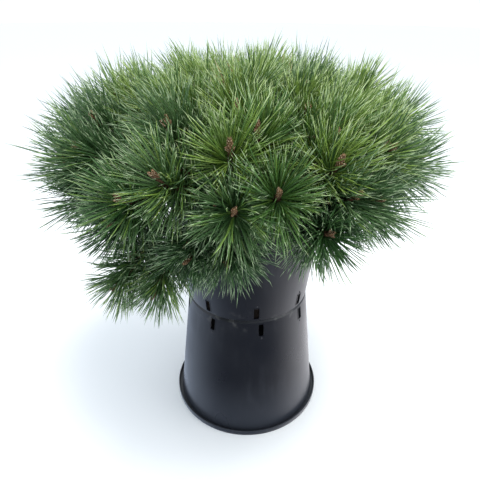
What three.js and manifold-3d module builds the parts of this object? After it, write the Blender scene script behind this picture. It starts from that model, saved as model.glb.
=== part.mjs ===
// A dwarf mountain pine with a broad domed crown, in a round black nursery container
// that stands on a second container of the same make turned upside down.
//
// Millimetres, +Z up, front at -Y. z = 0 is the surface that the upturned container's rim
// stands on, and the origin lies under the middle of the crown's spread. Azimuths are in
// degrees about the containers' axis, 0 at the front and growing towards +X.

import * as THREE from 'three';
import { mergeVertices } from 'three/addons/utils/BufferGeometryUtils.js';
import Module from 'manifold-3d';

const wasm = await Module();
wasm.setup();

// ---- driving dimensions ------------------------------------------------------------------

// Clearance kept between pieces that touch.
const GAP = 0.3;

// The containers' axis, seen from the middle of the crown's spread.
const AXIS = { x: 15, y: 1 };

// One container, standing upright.
const CONTAINER = {
  height: 252.3,
  footRadius: 113.3,
  wallTopRadius: 141.9,
  wall: 2.2,
  floor: 2.8,
  footBevel: 3,
  rimEdge: 1,
  rimRadius: 150,
  rimPlate: 2.6,
  skirtDepth: 10,
  skirtWall: 2.2,
  sides: 32,
};

// Drainage slots in the wall beside the foot of each container.
const SLOT = { count: 8, width: 9.3, height: 24, fromFoot: 6.5, depth: 16 };
const UPPER_SLOT_TURN = 8;
const LOWER_SLOT_TURN = 12.5;

// Potting mix, up to this far below the rim.
const SOIL = { belowRim: 22, edgeDrop: 5, shoulder: 12 };

// Short stem, hidden by the crown.
const TRUNK = {
  height: 112,
  footRadius: 21,
  flare: 11,
  flareHeight: 16,
  tipRadius: 10,
  lean: { x: -7, y: -4 },
  straight: 0.4,
  sides: 8,
  steps: 6,
};

// The buds at the shoots' ends lie on one flattened dome.
const DOME = { x: -12, y: 0, z: 530, radius: 277, rise: 104, fullness: 0.68 };

// A shoot's end points this far above the horizon: level plus slope times its latitude.
const SHOOT_AIM = { level: 40, slope: 0.95, most: 84 };

// Tiers of the crown. Each bough leaves the trunk at the height leave, or leaveStep above it,
// ends at boughReach and boughHeight, and carries one mass of foliage. The mass forks at
// forkReach into two or three shoots, the outer ones spread degrees to each side. Shoots end
// beyond millimetres outside the dome and sag below it, about the tier's latitude, which rises
// by stagger degrees from one shoot to the next. The crown tier's masses stand on the trunk.
const TIERS = [
  {
    name: 'crown', azimuths: [-42, 78, 198], shoots: 3, spread: 40, latitude: 61, stagger: 2,
    leave: 94, leaveStep: 0, boughRadius: 0, boughReach: 0, boughHeight: 0, forkReach: 26,
    beyond: 0, sag: 0,
  },
  {
    name: 'upper', azimuths: [-76, -15, 20, 55, 108, 165, 224], shoots: 2, spread: 13,
    latitude: 40, stagger: -4, leave: 70, leaveStep: 12, boughRadius: 7, boughReach: 72,
    boughHeight: 562, forkReach: 88, beyond: 0, sag: 0,
  },
  {
    name: 'brow', azimuths: [37, 200], shoots: 2, spread: 9.5, latitude: 25, stagger: 0,
    leave: 60, leaveStep: 0, boughRadius: 6.5, boughReach: 108, boughHeight: 556,
    forkReach: 122, beyond: 0, sag: 0,
  },
  {
    name: 'shoulder', azimuths: [-76, -43, -10, 59, 100, 148, 196, 244], shoots: 2, spread: 11,
    latitude: 11, stagger: -8, leave: 42, leaveStep: 13, boughRadius: 7.5, boughReach: 122,
    boughHeight: 537, forkReach: 138, beyond: 0, sag: 0,
  },
  {
    name: 'middle', azimuths: [20.5], shoots: 2, spread: 11, latitude: 5, stagger: -3,
    leave: 55, leaveStep: 0, boughRadius: 7.5, boughReach: 122, boughHeight: 537,
    forkReach: 138, beyond: 0, sag: 0,
  },
  {
    name: 'skirt', azimuths: [-92, -49, 124, 172, 220], shoots: 2, spread: 9.5, latitude: -9,
    stagger: 0, leave: 16, leaveStep: 12, boughRadius: 6.5, boughReach: 156, boughHeight: 520,
    forkReach: 170, beyond: 0, sag: 0,
  },
  {
    name: 'flank', azimuths: [31], shoots: 2, spread: 9, latitude: -5, stagger: 3, leave: 16,
    leaveStep: 0, boughRadius: 6.5, boughReach: 156, boughHeight: 520, forkReach: 170,
    beyond: 0, sag: 0,
  },
  {
    name: 'hanging', azimuths: [-30.8], shoots: 2, spread: 6, latitude: -68, stagger: 0,
    leave: 22, leaveStep: 0, boughRadius: 6.5, boughReach: 158, boughHeight: 519,
    forkReach: 172, beyond: 173, sag: 31,
  },
  {
    name: 'front', azimuths: [-10], shoots: 2, spread: 6, latitude: -37.5, stagger: 0,
    leave: 20, leaveStep: 0, boughRadius: 6.5, boughReach: 158, boughHeight: 519,
    forkReach: 172, beyond: 24, sag: 0,
  },
];
// A bough rises to crest above its end at the share knee of its reach.
const BOUGH = { tipRadius: 5.2, knee: 0.55, crest: 2, sides: 5, steps: 3 };

// Where the shoots of a fork stand, from -1 on its left to 1 on its right.
const FORKS = { 2: [-1, 1], 3: [-1, 0, 1] };
const STEM = { radius: 5, turn: 0.6, sides: 5, steps: 1 };

// The mass on the trunk's tip forks on a short stem into low shoots that close the middle.
const LEADER = {
  stem: 8, azimuths: [18, 138, 258], latitude: 78, beyond: 0, sag: 12, boughRadius: 0,
};

// A shoot is a slim core of facets, each ring turned degrees on from the last. Its direction
// wobbles by some degrees, its end's azimuth and latitude by a share of them.
const SHOOT = {
  rootRadius: 8.5,
  tipRadius: 6.5,
  sides: 6,
  rings: 6,
  turn: 23,
  bend: 0.36,
  wobble: 7,
  azimuthShare: 0.3,
  latitudeShare: 0.4,
};

// Needles stand out of the core's facets at an angle off the shoot that narrows from its root
// to its end. On a shoot that ends at the height weakTo or lower they are the share weak of
// their length, which grows to all of it at strongFrom. Each is as long as its space allows,
// in the shares of that under shorter.
const NEEDLE = {
  length: 68,
  lengthWobble: 0.08,
  weak: 0.74,
  weakTo: 440,
  strongFrom: 540,
  rootAngle: 98,
  tipAngle: 36,
  narrowing: 1.3,
  angleWobble: 6,
  shorter: [1, 0.9, 0.8, 0.7, 0.6, 0.5, 0.4, 0.3],
  halfWidth: 4.5,
  clearance: 0.5,
  containerClearance: 2,
  samples: 6,
};

// Places between the wobble numbers of one limb's shoots, and of one shoot's needles.
const SHOOTS_APART = 3;
const NEEDLES_APART = 500;

// ---- small helpers -----------------------------------------------------------------------

const degrees = THREE.MathUtils.degToRad;

function polar(azimuth, radius, z) {
  const angle = degrees(azimuth);
  return new THREE.Vector3(radius * Math.sin(angle), -radius * Math.cos(angle), z);
}

// A number from -1 to 1 that depends on its two whole numbers alone.
function wobble(index, salt) {
  const value = Math.sin(index * 12.9898 + salt * 78.233) * 43758.5453;
  return 2 * (value - Math.floor(value)) - 1;
}

function toSolid(geometry) {
  const bare = geometry.clone();
  bare.deleteAttribute('normal');
  bare.deleteAttribute('uv');
  const merged = mergeVertices(bare, 1e-4);
  return new wasm.Manifold(new wasm.Mesh({
    numProp: 3,
    vertProperties: new Float32Array(merged.attributes.position.array),
    triVerts: new Uint32Array(merged.index.array),
  }));
}

// The largest body of a solid, as a geometry.
function toGeometry(solid) {
  const bodies = solid.decompose();
  bodies.sort((a, b) => b.volume() - a.volume());
  const mesh = bodies[0].getMesh();
  const geometry = new THREE.BufferGeometry();
  geometry.setAttribute('position', new THREE.BufferAttribute(mesh.vertProperties, 3));
  geometry.setIndex(new THREE.BufferAttribute(mesh.triVerts, 1));
  geometry.computeVertexNormals();
  return geometry;
}

// Carries a unit cylinder that stands on Y along a curve, with a radius for each place on it.
// Each ring is turned against the last by turn.
function bend(cylinder, curve, radiusAt, turn = 0) {
  const steps = cylinder.parameters.heightSegments;
  const frames = curve.computeFrenetFrames(steps, false);
  const position = cylinder.attributes.position;
  const point = new THREE.Vector3();
  for (let i = 0; i < position.count; i += 1) {
    const along = 0.5 - position.getY(i);
    const ring = Math.round(along * steps);
    const radius = radiusAt(along);
    const side = new THREE.Vector3(position.getX(i), 0, position.getZ(i));
    side.applyAxisAngle(new THREE.Vector3(0, 1, 0), turn * ring);
    curve.getPointAt(along, point);
    point.addScaledVector(frames.normals[ring], side.x * radius);
    point.addScaledVector(frames.binormals[ring], side.z * radius);
    position.setXYZ(i, point.x, point.y, point.z);
  }
  return cylinder;
}

function limb(curve, radiusAt, sides, steps) {
  return toSolid(bend(new THREE.CylinderGeometry(1, 1, 1, sides, steps), curve, radiusAt));
}

function taper(from, to) {
  return (along) => THREE.MathUtils.lerp(from, to, along);
}

// ---- containers and potting mix ----------------------------------------------------------

function innerRadius(z) {
  const { height, footRadius, wallTopRadius, wall } = CONTAINER;
  return THREE.MathUtils.lerp(footRadius, wallTopRadius, z / height) - wall;
}

function containerProfile() {
  const c = CONTAINER;
  const underPlate = c.height - c.rimPlate;
  const skirtInner = c.rimRadius - c.skirtWall;
  const bevelled = innerRadius(c.footBevel) + c.wall;
  return [
    [0, 0],
    [c.footRadius - c.footBevel, 0],
    [bevelled, c.footBevel],
    [c.wallTopRadius, underPlate],
    [skirtInner, underPlate],
    [skirtInner, c.height - c.skirtDepth],
    [c.rimRadius, c.height - c.skirtDepth],
    [c.rimRadius, c.height - c.rimEdge],
    [c.rimRadius - c.rimEdge, c.height],
    [innerRadius(c.height), c.height],
    [innerRadius(c.floor + c.footBevel), c.floor + c.footBevel],
    [innerRadius(c.floor) - c.footBevel, c.floor],
    [0, c.floor],
  ].map(([r, z]) => new THREE.Vector2(r, z));
}

function containerSolid(slotTurn) {
  const lathe = new THREE.LatheGeometry(containerProfile(), CONTAINER.sides);
  lathe.rotateX(Math.PI / 2);
  let solid = toSolid(lathe);
  const middle = SLOT.fromFoot + SLOT.height / 2;
  for (let k = 0; k < SLOT.count; k += 1) {
    const azimuth = slotTurn + (360 / SLOT.count) * k;
    const cutter = new THREE.BoxGeometry(SLOT.width, SLOT.depth, SLOT.height);
    cutter.rotateZ(degrees(azimuth));
    const at = polar(azimuth, innerRadius(middle), middle);
    cutter.translate(at.x, at.y, at.z);
    solid = solid.subtract(toSolid(cutter));
  }
  return solid;
}

const POT_FOOT = CONTAINER.height + GAP;
const POT_RIM = POT_FOOT + CONTAINER.height;
const SOIL_TOP = POT_RIM - SOIL.belowRim;

function soilGeometry() {
  const bevel = CONTAINER.footBevel;
  const bottom = CONTAINER.floor + GAP;
  const top = SOIL_TOP - POT_FOOT;
  const edge = top - SOIL.edgeDrop;
  const profile = [
    [0, bottom],
    [innerRadius(bottom) - bevel - GAP, bottom],
    [innerRadius(bottom + bevel) - GAP, bottom + bevel],
    [innerRadius(edge) - GAP, edge],
    [innerRadius(top) - SOIL.shoulder, top],
    [0, top],
  ].map(([r, z]) => new THREE.Vector2(r, z));
  const geometry = new THREE.LatheGeometry(profile, CONTAINER.sides);
  geometry.rotateX(Math.PI / 2);
  geometry.translate(0, 0, POT_FOOT);
  return geometry;
}

// ---- trunk, boughs and the skeleton of the crown -----------------------------------------

const TRUNK_FOOT = SOIL_TOP + GAP;
const trunkCurve = new THREE.QuadraticBezierCurve3(
  new THREE.Vector3(0, 0, TRUNK_FOOT),
  new THREE.Vector3(0, 0, TRUNK_FOOT + TRUNK.height * TRUNK.straight),
  new THREE.Vector3(TRUNK.lean.x, TRUNK.lean.y, TRUNK_FOOT + TRUNK.height),
);

function trunkRadius(along) {
  const above = along * TRUNK.height;
  const flare = TRUNK.flare * Math.exp(-above / TRUNK.flareHeight);
  return THREE.MathUtils.lerp(TRUNK.footRadius, TRUNK.tipRadius, along) + flare;
}

function onDome(azimuth, latitude, { beyond, sag }) {
  const reach = DOME.radius * Math.cos(degrees(latitude)) + beyond;
  const steep = Math.sin(degrees(latitude));
  const rise = DOME.rise * Math.sign(steep) * Math.abs(steep) ** DOME.fullness;
  return polar(azimuth, reach, DOME.z + rise - sag).add(new THREE.Vector3(DOME.x, DOME.y, 0));
}

function growShoot(fork, azimuth, latitude, tier, serial) {
  const lift = SHOOT.wobble * wobble(serial, 1);
  const drift = SHOOT.wobble * wobble(serial, 2);
  const end = onDome(
    azimuth + SHOOT.azimuthShare * lift,
    latitude + SHOOT.latitudeShare * drift,
    tier,
  );
  const steep = SHOOT_AIM.level + SHOOT_AIM.slope * latitude + lift;
  const rise = degrees(Math.min(steep, SHOOT_AIM.most));
  const aim = polar(azimuth, Math.cos(rise), Math.sin(rise));
  const bendPoint = end.clone().addScaledVector(aim, -SHOOT.bend * end.distanceTo(fork));
  return new THREE.QuadraticBezierCurve3(fork.clone(), bendPoint, end);
}

// One limb of the crown: its bough, its stem and its shoots.
function growLimb(tier, index, serial) {
  const azimuth = tier.azimuths[index];
  const leave = trunkCurve.getPointAt(
    (tier.leave + tier.leaveStep * (index % 2)) / TRUNK.height,
  );
  const ends = FORKS[tier.shoots].map((side) => ({
    azimuth: azimuth + side * tier.spread,
    latitude: tier.latitude + side * tier.stagger,
  }));
  const grown = { tier, name: `${tier.name}_${index + 1}` };
  let from = leave;
  let heading = polar(azimuth, 1, 1).normalize();
  if (tier.boughReach > 0) {
    const tip = polar(azimuth, tier.boughReach, tier.boughHeight);
    const knee = polar(azimuth, BOUGH.knee * tier.boughReach, tip.z + BOUGH.crest);
    grown.bough = new THREE.QuadraticBezierCurve3(leave, knee, tip);
    heading = grown.bough.getTangentAt(1);
    from = tip.clone().addScaledVector(heading, GAP);
  }
  const target = new THREE.Vector3();
  ends.forEach((end) => {
    target.addScaledVector(onDome(end.azimuth, end.latitude, tier), 1 / ends.length);
  });
  const targetReach = Math.hypot(target.x, target.y);
  const share = (tier.forkReach - tier.boughReach) / (targetReach - tier.boughReach);
  const fork = from.clone().lerp(target, share);
  const turn = from.clone().addScaledVector(heading, STEM.turn * from.distanceTo(fork));
  grown.stem = new THREE.QuadraticBezierCurve3(from, turn, fork);
  grown.shoots = ends.map((end, k) => (
    growShoot(fork, end.azimuth, end.latitude, tier, SHOOTS_APART * serial + k)
  ));
  return grown;
}

function growLeader(serial) {
  const tip = trunkCurve.getPointAt(1);
  const heading = trunkCurve.getTangentAt(1);
  const from = tip.clone().addScaledVector(heading, GAP);
  const fork = from.clone().addScaledVector(heading, LEADER.stem);
  return {
    name: 'leader',
    tier: LEADER,
    stem: new THREE.LineCurve3(from, fork),
    shoots: LEADER.azimuths.map((azimuth, k) => (
      growShoot(fork, azimuth, LEADER.latitude, LEADER, SHOOTS_APART * serial + k)
    )),
  };
}

const limbs = [];
TIERS.forEach((tier) => {
  tier.azimuths.forEach((azimuth, index) => limbs.push(growLimb(tier, index, limbs.length)));
});
limbs.push(growLeader(limbs.length));

// ---- the space that each mass keeps to ---------------------------------------------------

function segments(curve, steps) {
  const points = curve.getPoints(steps);
  return points.slice(1).map((point, i) => new THREE.Line3(points[i], point));
}

limbs.forEach((grown) => {
  grown.cores = grown.shoots.map((shoot) => segments(shoot, 3));
  grown.stemLines = segments(grown.stem, 3);
  grown.boughLines = grown.bough ? segments(grown.bough, 5) : [];
});
const trunkLines = segments(trunkCurve, 4);
const allCores = limbs.flatMap((grown) => grown.cores);

const nearest = new THREE.Vector3();
function distanceTo(lines, point) {
  let least = Infinity;
  for (const line of lines) {
    line.closestPointToPoint(point, true, nearest);
    least = Math.min(least, nearest.distanceToSquared(point));
  }
  return Math.sqrt(least);
}

function clearOfContainer(point, margin) {
  const reach = Math.hypot(point.x, point.y);
  const room = margin + NEEDLE.containerClearance;
  return point.z > POT_RIM + room || reach > CONTAINER.rimRadius + room;
}

function clearOfWood(point, margin) {
  if (distanceTo(trunkLines, point) < TRUNK.footRadius + margin) {
    return false;
  }
  return limbs.every((grown) => (
    distanceTo(grown.boughLines, point) > grown.tier.boughRadius + margin
    && distanceTo(grown.stemLines, point) > STEM.radius + margin
  ));
}

function inOwnSpace(point, margin, own) {
  const home = distanceTo(own, point);
  return allCores.every((core) => core === own || distanceTo(core, point) > home + 2 * margin);
}

// Whether a needle from root to tip stays in its shoot's own space and off every limb.
function hasRoom(root, tip, own) {
  const point = new THREE.Vector3();
  for (let k = NEEDLE.samples; k >= 0; k -= 1) {
    const along = k / NEEDLE.samples;
    const margin = NEEDLE.clearance + NEEDLE.halfWidth * (1 - along);
    point.lerpVectors(root, tip, along);
    const room = clearOfContainer(point, margin) && inOwnSpace(point, margin, own)
      && clearOfWood(point, margin);
    if (!room) {
      return false;
    }
  }
  return true;
}

// ---- shoots with their needles -----------------------------------------------------------

function needleTip(root, curve, along, serial, own) {
  const onAxis = curve.getPointAt(along);
  const axis = curve.getTangentAt(along);
  const out = root.clone().sub(onAxis);
  out.addScaledVector(axis, -out.dot(axis)).normalize();
  const lean = THREE.MathUtils.lerp(NEEDLE.rootAngle, NEEDLE.tipAngle, along ** NEEDLE.narrowing);
  const angle = degrees(lean + NEEDLE.angleWobble * wobble(serial, 3));
  const direction = axis.clone().multiplyScalar(Math.cos(angle));
  direction.addScaledVector(out, Math.sin(angle));
  const strong = (curve.v2.z - NEEDLE.weakTo) / (NEEDLE.strongFrom - NEEDLE.weakTo);
  const vigour = THREE.MathUtils.lerp(NEEDLE.weak, 1, THREE.MathUtils.clamp(strong, 0, 1));
  const full = NEEDLE.length * vigour * (1 + NEEDLE.lengthWobble * wobble(serial, 4));
  for (const share of NEEDLE.shorter) {
    const tip = root.clone().addScaledVector(direction, share * full);
    if (hasRoom(root, tip, own)) {
      return tip;
    }
  }
  return null;
}

// The facets of a slim core along the shoot, each drawn out to a needle where it has room.
function brush(curve, serial, own) {
  const { sides, rings, rootRadius, tipRadius } = SHOOT;
  const core = bend(
    new THREE.CylinderGeometry(1, 1, 1, sides, rings),
    curve,
    taper(rootRadius, tipRadius),
    degrees(SHOOT.turn),
  );
  const flat = core.toNonIndexed().attributes.position;
  const heightOf = new THREE.CylinderGeometry(1, 1, 1, sides, rings).toNonIndexed();
  const faces = [];
  for (let i = 0; i < flat.count; i += 3) {
    const corners = [0, 1, 2].map((k) => new THREE.Vector3().fromBufferAttribute(flat, i + k));
    const heights = [0, 1, 2].map((k) => 0.5 - heightOf.attributes.position.getY(i + k));
    const along = (heights[0] + heights[1] + heights[2]) / 3;
    const root = new THREE.Vector3();
    corners.forEach((corner) => root.addScaledVector(corner, 1 / 3));
    const number = serial * NEEDLES_APART + i / 3;
    const tip = along > 0 ? needleTip(root, curve, along, number, own) : null;
    if (tip) {
      faces.push(corners[0], corners[1], tip);
      faces.push(corners[1], corners[2], tip);
      faces.push(corners[2], corners[0], tip);
    } else {
      faces.push(...corners);
    }
  }
  return toSolid(new THREE.BufferGeometry().setFromPoints(faces));
}

function massSolid(grown, serial) {
  const stem = limb(grown.stem, taper(STEM.radius, STEM.radius), STEM.sides, STEM.steps);
  const pieces = grown.shoots.map((shoot, k) => (
    brush(shoot, SHOOTS_APART * serial + k, grown.cores[k])
  ));
  return wasm.Manifold.union([stem, ...pieces]);
}

// ---- materials ---------------------------------------------------------------------------

const blackPlastic = new THREE.MeshStandardMaterial({
  color: 0x17191d, roughness: 0.42, metalness: 0,
});
const pottingMix = new THREE.MeshStandardMaterial({
  color: 0x33261c, roughness: 0.95, metalness: 0,
});
const bark = new THREE.MeshStandardMaterial({ color: 0x5d4a3a, roughness: 0.9, metalness: 0 });
const needles = new THREE.MeshStandardMaterial({
  color: 0x4f7f35, roughness: 0.6, metalness: 0,
});

// ---- assembly ----------------------------------------------------------------------------

const plant = new THREE.Group();
plant.position.set(AXIS.x, AXIS.y, 0);

function addPiece(name, geometry, material) {
  const piece = new THREE.Mesh(geometry, material);
  piece.name = name;
  plant.add(piece);
  return piece;
}

const standPot = addPiece('stand_pot', toGeometry(containerSolid(-LOWER_SLOT_TURN)), blackPlastic);
standPot.rotation.y = Math.PI;
standPot.position.z = CONTAINER.height;

const pot = addPiece('pot', toGeometry(containerSolid(UPPER_SLOT_TURN)), blackPlastic);
pot.position.z = POT_FOOT;

addPiece('soil', soilGeometry(), pottingMix);

const trunk = limb(trunkCurve, trunkRadius, TRUNK.sides, TRUNK.steps);
const trunkRoom = limb(trunkCurve, (along) => trunkRadius(along) + GAP, TRUNK.sides, TRUNK.steps);
addPiece('trunk', toGeometry(trunk), bark);

let taken = trunkRoom;
limbs.filter((grown) => grown.bough).forEach((grown) => {
  const { boughRadius } = grown.tier;
  const { tipRadius, sides, steps } = BOUGH;
  const bough = limb(grown.bough, taper(boughRadius, tipRadius), sides, steps);
  addPiece(`bough_${grown.name}`, toGeometry(bough.subtract(taken)), bark);
  const room = limb(grown.bough, taper(boughRadius + GAP, tipRadius + GAP), sides, steps);
  taken = taken.add(room);
});

limbs.forEach((grown, serial) => {
  const mass = massSolid(grown, serial);
  addPiece(`foliage_${grown.name}`, toGeometry(mass.subtract(taken)), needles);
});

export default plant;
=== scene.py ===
"""Dresses a dwarf mountain pine that stands in a nursery container on an upturned one.

Sizes are in millimetres about the containers' axis, with +Z up, the front at -Y and z = 0
under the upturned container, and become metres in the frame where a mesh is made. Azimuths
are in degrees about that axis, 0 at the front and growing towards +X. The crown is grown by
the rule of the part's source and carried on to side twigs, single needles and buds.
"""

import logging
import math
from collections.abc import Callable, Sequence
from dataclasses import dataclass
from enum import Enum
from typing import ClassVar

import bpy
import numpy as np
from mathutils import Matrix, Vector

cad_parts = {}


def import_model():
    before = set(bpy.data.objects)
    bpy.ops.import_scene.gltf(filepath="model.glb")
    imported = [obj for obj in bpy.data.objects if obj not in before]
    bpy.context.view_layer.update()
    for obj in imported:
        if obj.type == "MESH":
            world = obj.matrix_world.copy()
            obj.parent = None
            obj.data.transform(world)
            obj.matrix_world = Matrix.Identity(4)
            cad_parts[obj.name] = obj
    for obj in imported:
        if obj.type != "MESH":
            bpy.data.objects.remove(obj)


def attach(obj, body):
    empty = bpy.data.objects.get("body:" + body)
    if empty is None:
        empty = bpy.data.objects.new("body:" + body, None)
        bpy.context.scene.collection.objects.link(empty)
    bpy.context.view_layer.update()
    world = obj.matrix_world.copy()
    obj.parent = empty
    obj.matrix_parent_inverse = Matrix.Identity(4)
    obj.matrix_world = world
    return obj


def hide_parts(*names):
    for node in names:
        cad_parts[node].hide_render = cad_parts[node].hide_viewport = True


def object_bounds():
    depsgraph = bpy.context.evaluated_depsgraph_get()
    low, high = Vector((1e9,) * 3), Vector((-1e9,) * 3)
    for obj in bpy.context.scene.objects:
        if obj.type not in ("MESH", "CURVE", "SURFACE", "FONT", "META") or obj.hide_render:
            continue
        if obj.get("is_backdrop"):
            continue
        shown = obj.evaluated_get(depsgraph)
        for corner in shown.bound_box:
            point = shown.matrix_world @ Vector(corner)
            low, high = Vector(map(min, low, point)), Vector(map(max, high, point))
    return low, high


log = logging.getLogger("pine")

# A colour is on the screen's scale of 0 to 255, and a pair is a range or a place in a plane.
Colour = tuple[int, int, int]
Pair = tuple[float, float]
Triple = tuple[float, float, float]
Linear = tuple[float, float, float, float]
Socket = bpy.types.NodeSocket
Material = bpy.types.Material

METRE = 0.001
# The clearance between a bough's tip and the stem that goes on from it.
GAP = 0.3
# The foot of the containers' axis, seen from the frame's origin.
AXIS = np.array([15.0, 1.0, 0.0])
BODY = "root"
UP = np.array([0.0, 0.0, 1.0])
# The place of a curve's end, as a share of its length.
LIMB_END = np.array(1.0)
# What the two whole numbers of a wobble are multiplied by, and then the sine of their sum.
INDEX_STEP = 12.9898
SALT_STEP = 78.233
SCATTER = 43758.5453
GOLDEN_TURN = math.radians(137.508)
# The most triangles that a piece of joined shapes takes in.
PIECE_LIMIT = 190_000


# ---- numbers and curves ----


def polar(azimuth: float, radius: float, z: float) -> np.ndarray:
    """Returns the point at an azimuth, a reach from the containers' axis and a height."""
    angle = math.radians(azimuth)
    return np.array([radius * math.sin(angle), -radius * math.cos(angle), z])


def wobble(index: int, salt: int) -> float:
    """Returns a number from -1 to 1 that depends on its two whole numbers alone."""
    value = math.sin(index * INDEX_STEP + salt * SALT_STEP) * SCATTER
    return 2 * (value - math.floor(value)) - 1


def unit(vectors: np.ndarray) -> np.ndarray:
    """Returns vectors brought to length one."""
    return vectors / np.linalg.norm(vectors, axis=-1, keepdims=True)


def ease(low: float, high: float, values: np.ndarray) -> np.ndarray:
    """Returns a smooth step from 0 at low to 1 at high."""
    share = np.clip((values - low) / (high - low), 0.0, 1.0)
    return share * share * (3 - 2 * share)


def circle(sides: int) -> np.ndarray:
    """Returns the points of a level circle of radius 1, in rows."""
    angles = np.arange(sides) * (2 * math.pi / sides)
    return np.stack([np.cos(angles), np.sin(angles), 0 * angles], axis=1)


def turned(reaches: np.ndarray, heights: np.ndarray, sides: int) -> np.ndarray:
    """Returns the rings of a body turned about +Z, by ring, side and coordinate."""
    return reaches[:, None, None] * circle(sides)[None] + heights[:, None, None] * UP


def spokes(first: np.ndarray, second: np.ndarray, sides: int) -> np.ndarray:
    """Points outwards all round each of several axes.

    Args:
        first: A unit direction square to each axis, in rows.
        second: The one square to the axis and to the first, in rows.
        sides: How many directions go round.

    Returns:
        The directions, by axis, side and coordinate.
    """
    angles = np.arange(sides) * (2 * math.pi / sides)
    return (
        np.cos(angles)[None, :, None] * first[:, None, :]
        + np.sin(angles)[None, :, None] * second[:, None, :]
    )


@dataclass(frozen=True)
class Variation:
    """A share or a size that is drawn evenly.

    Attributes:
        least: The least that it may be.
        more: How much more it may be.
    """

    least: float
    more: float

    def draw(self, rng: np.random.Generator, count: int | None = None) -> np.ndarray | float:
        """Returns it drawn once, or a count of times in a row."""
        return self.least + self.more * rng.random(count)


@dataclass(frozen=True)
class Bend:
    """A quadratic curve that a limb follows.

    Attributes:
        root: Where the limb starts.
        knee: The point that pulls it into a bend.
        tip: Where it ends.
        steps: How many steps its length is measured in.
        slight: The size of its bend under which that doesn't set the sides.
        aside: A direction that no limb follows, which sets them then.
    """

    root: np.ndarray
    knee: np.ndarray
    tip: np.ndarray
    steps: ClassVar[int] = 200
    slight: ClassVar[float] = 1e-6
    aside: ClassVar[Triple] = (0.61, 0.37, 0.23)

    def raw(self, share: np.ndarray) -> np.ndarray:
        """Returns the points at shares of the curve's own parameter."""
        s = np.asarray(share, dtype=float)[..., None]
        return (1 - s) ** 2 * self.root + 2 * s * (1 - s) * self.knee + s**2 * self.tip

    def table(self) -> tuple[np.ndarray, np.ndarray]:
        """Measures the curve.

        Returns:
            Parameters, and the length of the curve up to each.
        """
        shares = np.linspace(0.0, 1.0, self.steps + 1)
        steps = np.linalg.norm(np.diff(self.raw(shares), axis=0), axis=1)
        return shares, np.concatenate([[0.0], np.cumsum(steps)])

    def length(self) -> float:
        """Returns the curve's length."""
        return float(self.table()[1][-1])

    def evenly(self, along: np.ndarray) -> np.ndarray:
        """Returns the parameters at shares of the curve's length."""
        shares, lengths = self.table()
        return np.interp(np.asarray(along) * lengths[-1], lengths, shares)

    def at(self, along: np.ndarray) -> np.ndarray:
        """Returns the points at shares of the curve's length."""
        return self.raw(self.evenly(along))

    def heading(self, along: np.ndarray) -> np.ndarray:
        """Returns the unit directions at shares of the curve's length."""
        s = self.evenly(along)[..., None]
        return unit((1 - s) * (self.knee - self.root) + s * (self.tip - self.knee))

    def sides(self, along: np.ndarray) -> tuple[np.ndarray, np.ndarray]:
        """Finds the directions to both sides.

        Args:
            along: Shares of the curve's length.

        Returns:
            Two unit directions at each, square to the curve and to each other.
        """
        heading = self.heading(along)
        across = np.cross(self.knee - self.root, self.tip - self.knee)
        if np.linalg.norm(across) < self.slight:
            across = np.cross(self.tip - self.root, np.array(self.aside))
        across = np.broadcast_to(unit(across), heading.shape)
        return across, np.cross(heading, across)

    def segments(self, steps: int) -> tuple[np.ndarray, np.ndarray]:
        """Returns the starts and the ends of the straight steps along the curve."""
        points = self.raw(np.linspace(0.0, 1.0, steps + 1))
        return points[:-1], points[1:]


def distances(points: np.ndarray, starts: np.ndarray, ends: np.ndarray) -> np.ndarray:
    """Measures points against straight lines.

    Args:
        points: Points in rows.
        starts: The lines' starts in rows.
        ends: The lines' ends in rows.

    Returns:
        The distance of each point, by row, to each line, by column.
    """
    along = ends - starts
    away = points[:, None, :] - starts[None, :, :]
    share = np.clip((away * along).sum(-1) / (along * along).sum(-1), 0.0, 1.0)
    return np.linalg.norm(away - share[..., None] * along, axis=-1)


# ---- meshes ----


@dataclass
class Shape:
    """Points and triangles, with the place of each triangle's finish in a list of them."""

    points: np.ndarray
    faces: np.ndarray
    shades: np.ndarray

    @staticmethod
    def joined(shapes: Sequence["Shape"]) -> "Shape":
        """Joins several shapes.

        Args:
            shapes: The shapes.

        Returns:
            All of them as one.
        """
        starts = np.cumsum([0] + [len(shape.points) for shape in shapes[:-1]])
        return Shape(
            np.concatenate([shape.points for shape in shapes]),
            np.concatenate([shape.faces + start for shape, start in zip(shapes, starts)]),
            np.concatenate([shape.shades for shape in shapes]),
        )


def plain(points: np.ndarray, faces: np.ndarray) -> Shape:
    """Returns a shape with the first finish all over."""
    return Shape(points, faces, np.zeros(len(faces), dtype=np.int32))


def grid_faces(rings: int, sides: int) -> np.ndarray:
    """Skins closed rings that follow one another.

    Args:
        rings: How many there are.
        sides: How many points each has.

    Returns:
        The triangles between them, as rows of the points' numbers.
    """
    ring = np.repeat(np.arange(rings - 1), sides)
    side = np.tile(np.arange(sides), rings - 1)
    beside = (side + 1) % sides
    a = ring * sides + side
    b = ring * sides + beside
    return np.concatenate([
        np.stack([a, b, b + sides], axis=1),
        np.stack([a, b + sides, a + sides], axis=1),
    ])


def closed_rings(rings: np.ndarray) -> Shape:
    """Skins rings of points and closes both ends.

    Args:
        rings: Points by ring, side and coordinate, each ring turning left about the way on.

    Returns:
        The closed shape.
    """
    count, sides, _ = rings.shape
    points = np.concatenate([
        rings.reshape(-1, 3),
        rings[:1].mean(axis=1),
        rings[-1:].mean(axis=1),
    ])
    side = np.arange(sides)
    beside = (side + 1) % sides
    first = np.full(sides, count * sides)
    last = (count - 1) * sides
    faces = np.concatenate([
        grid_faces(count, sides),
        np.stack([first, beside, side], axis=1),
        np.stack([first + 1, last + side, last + beside], axis=1),
    ])
    return plain(points, faces)


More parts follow.
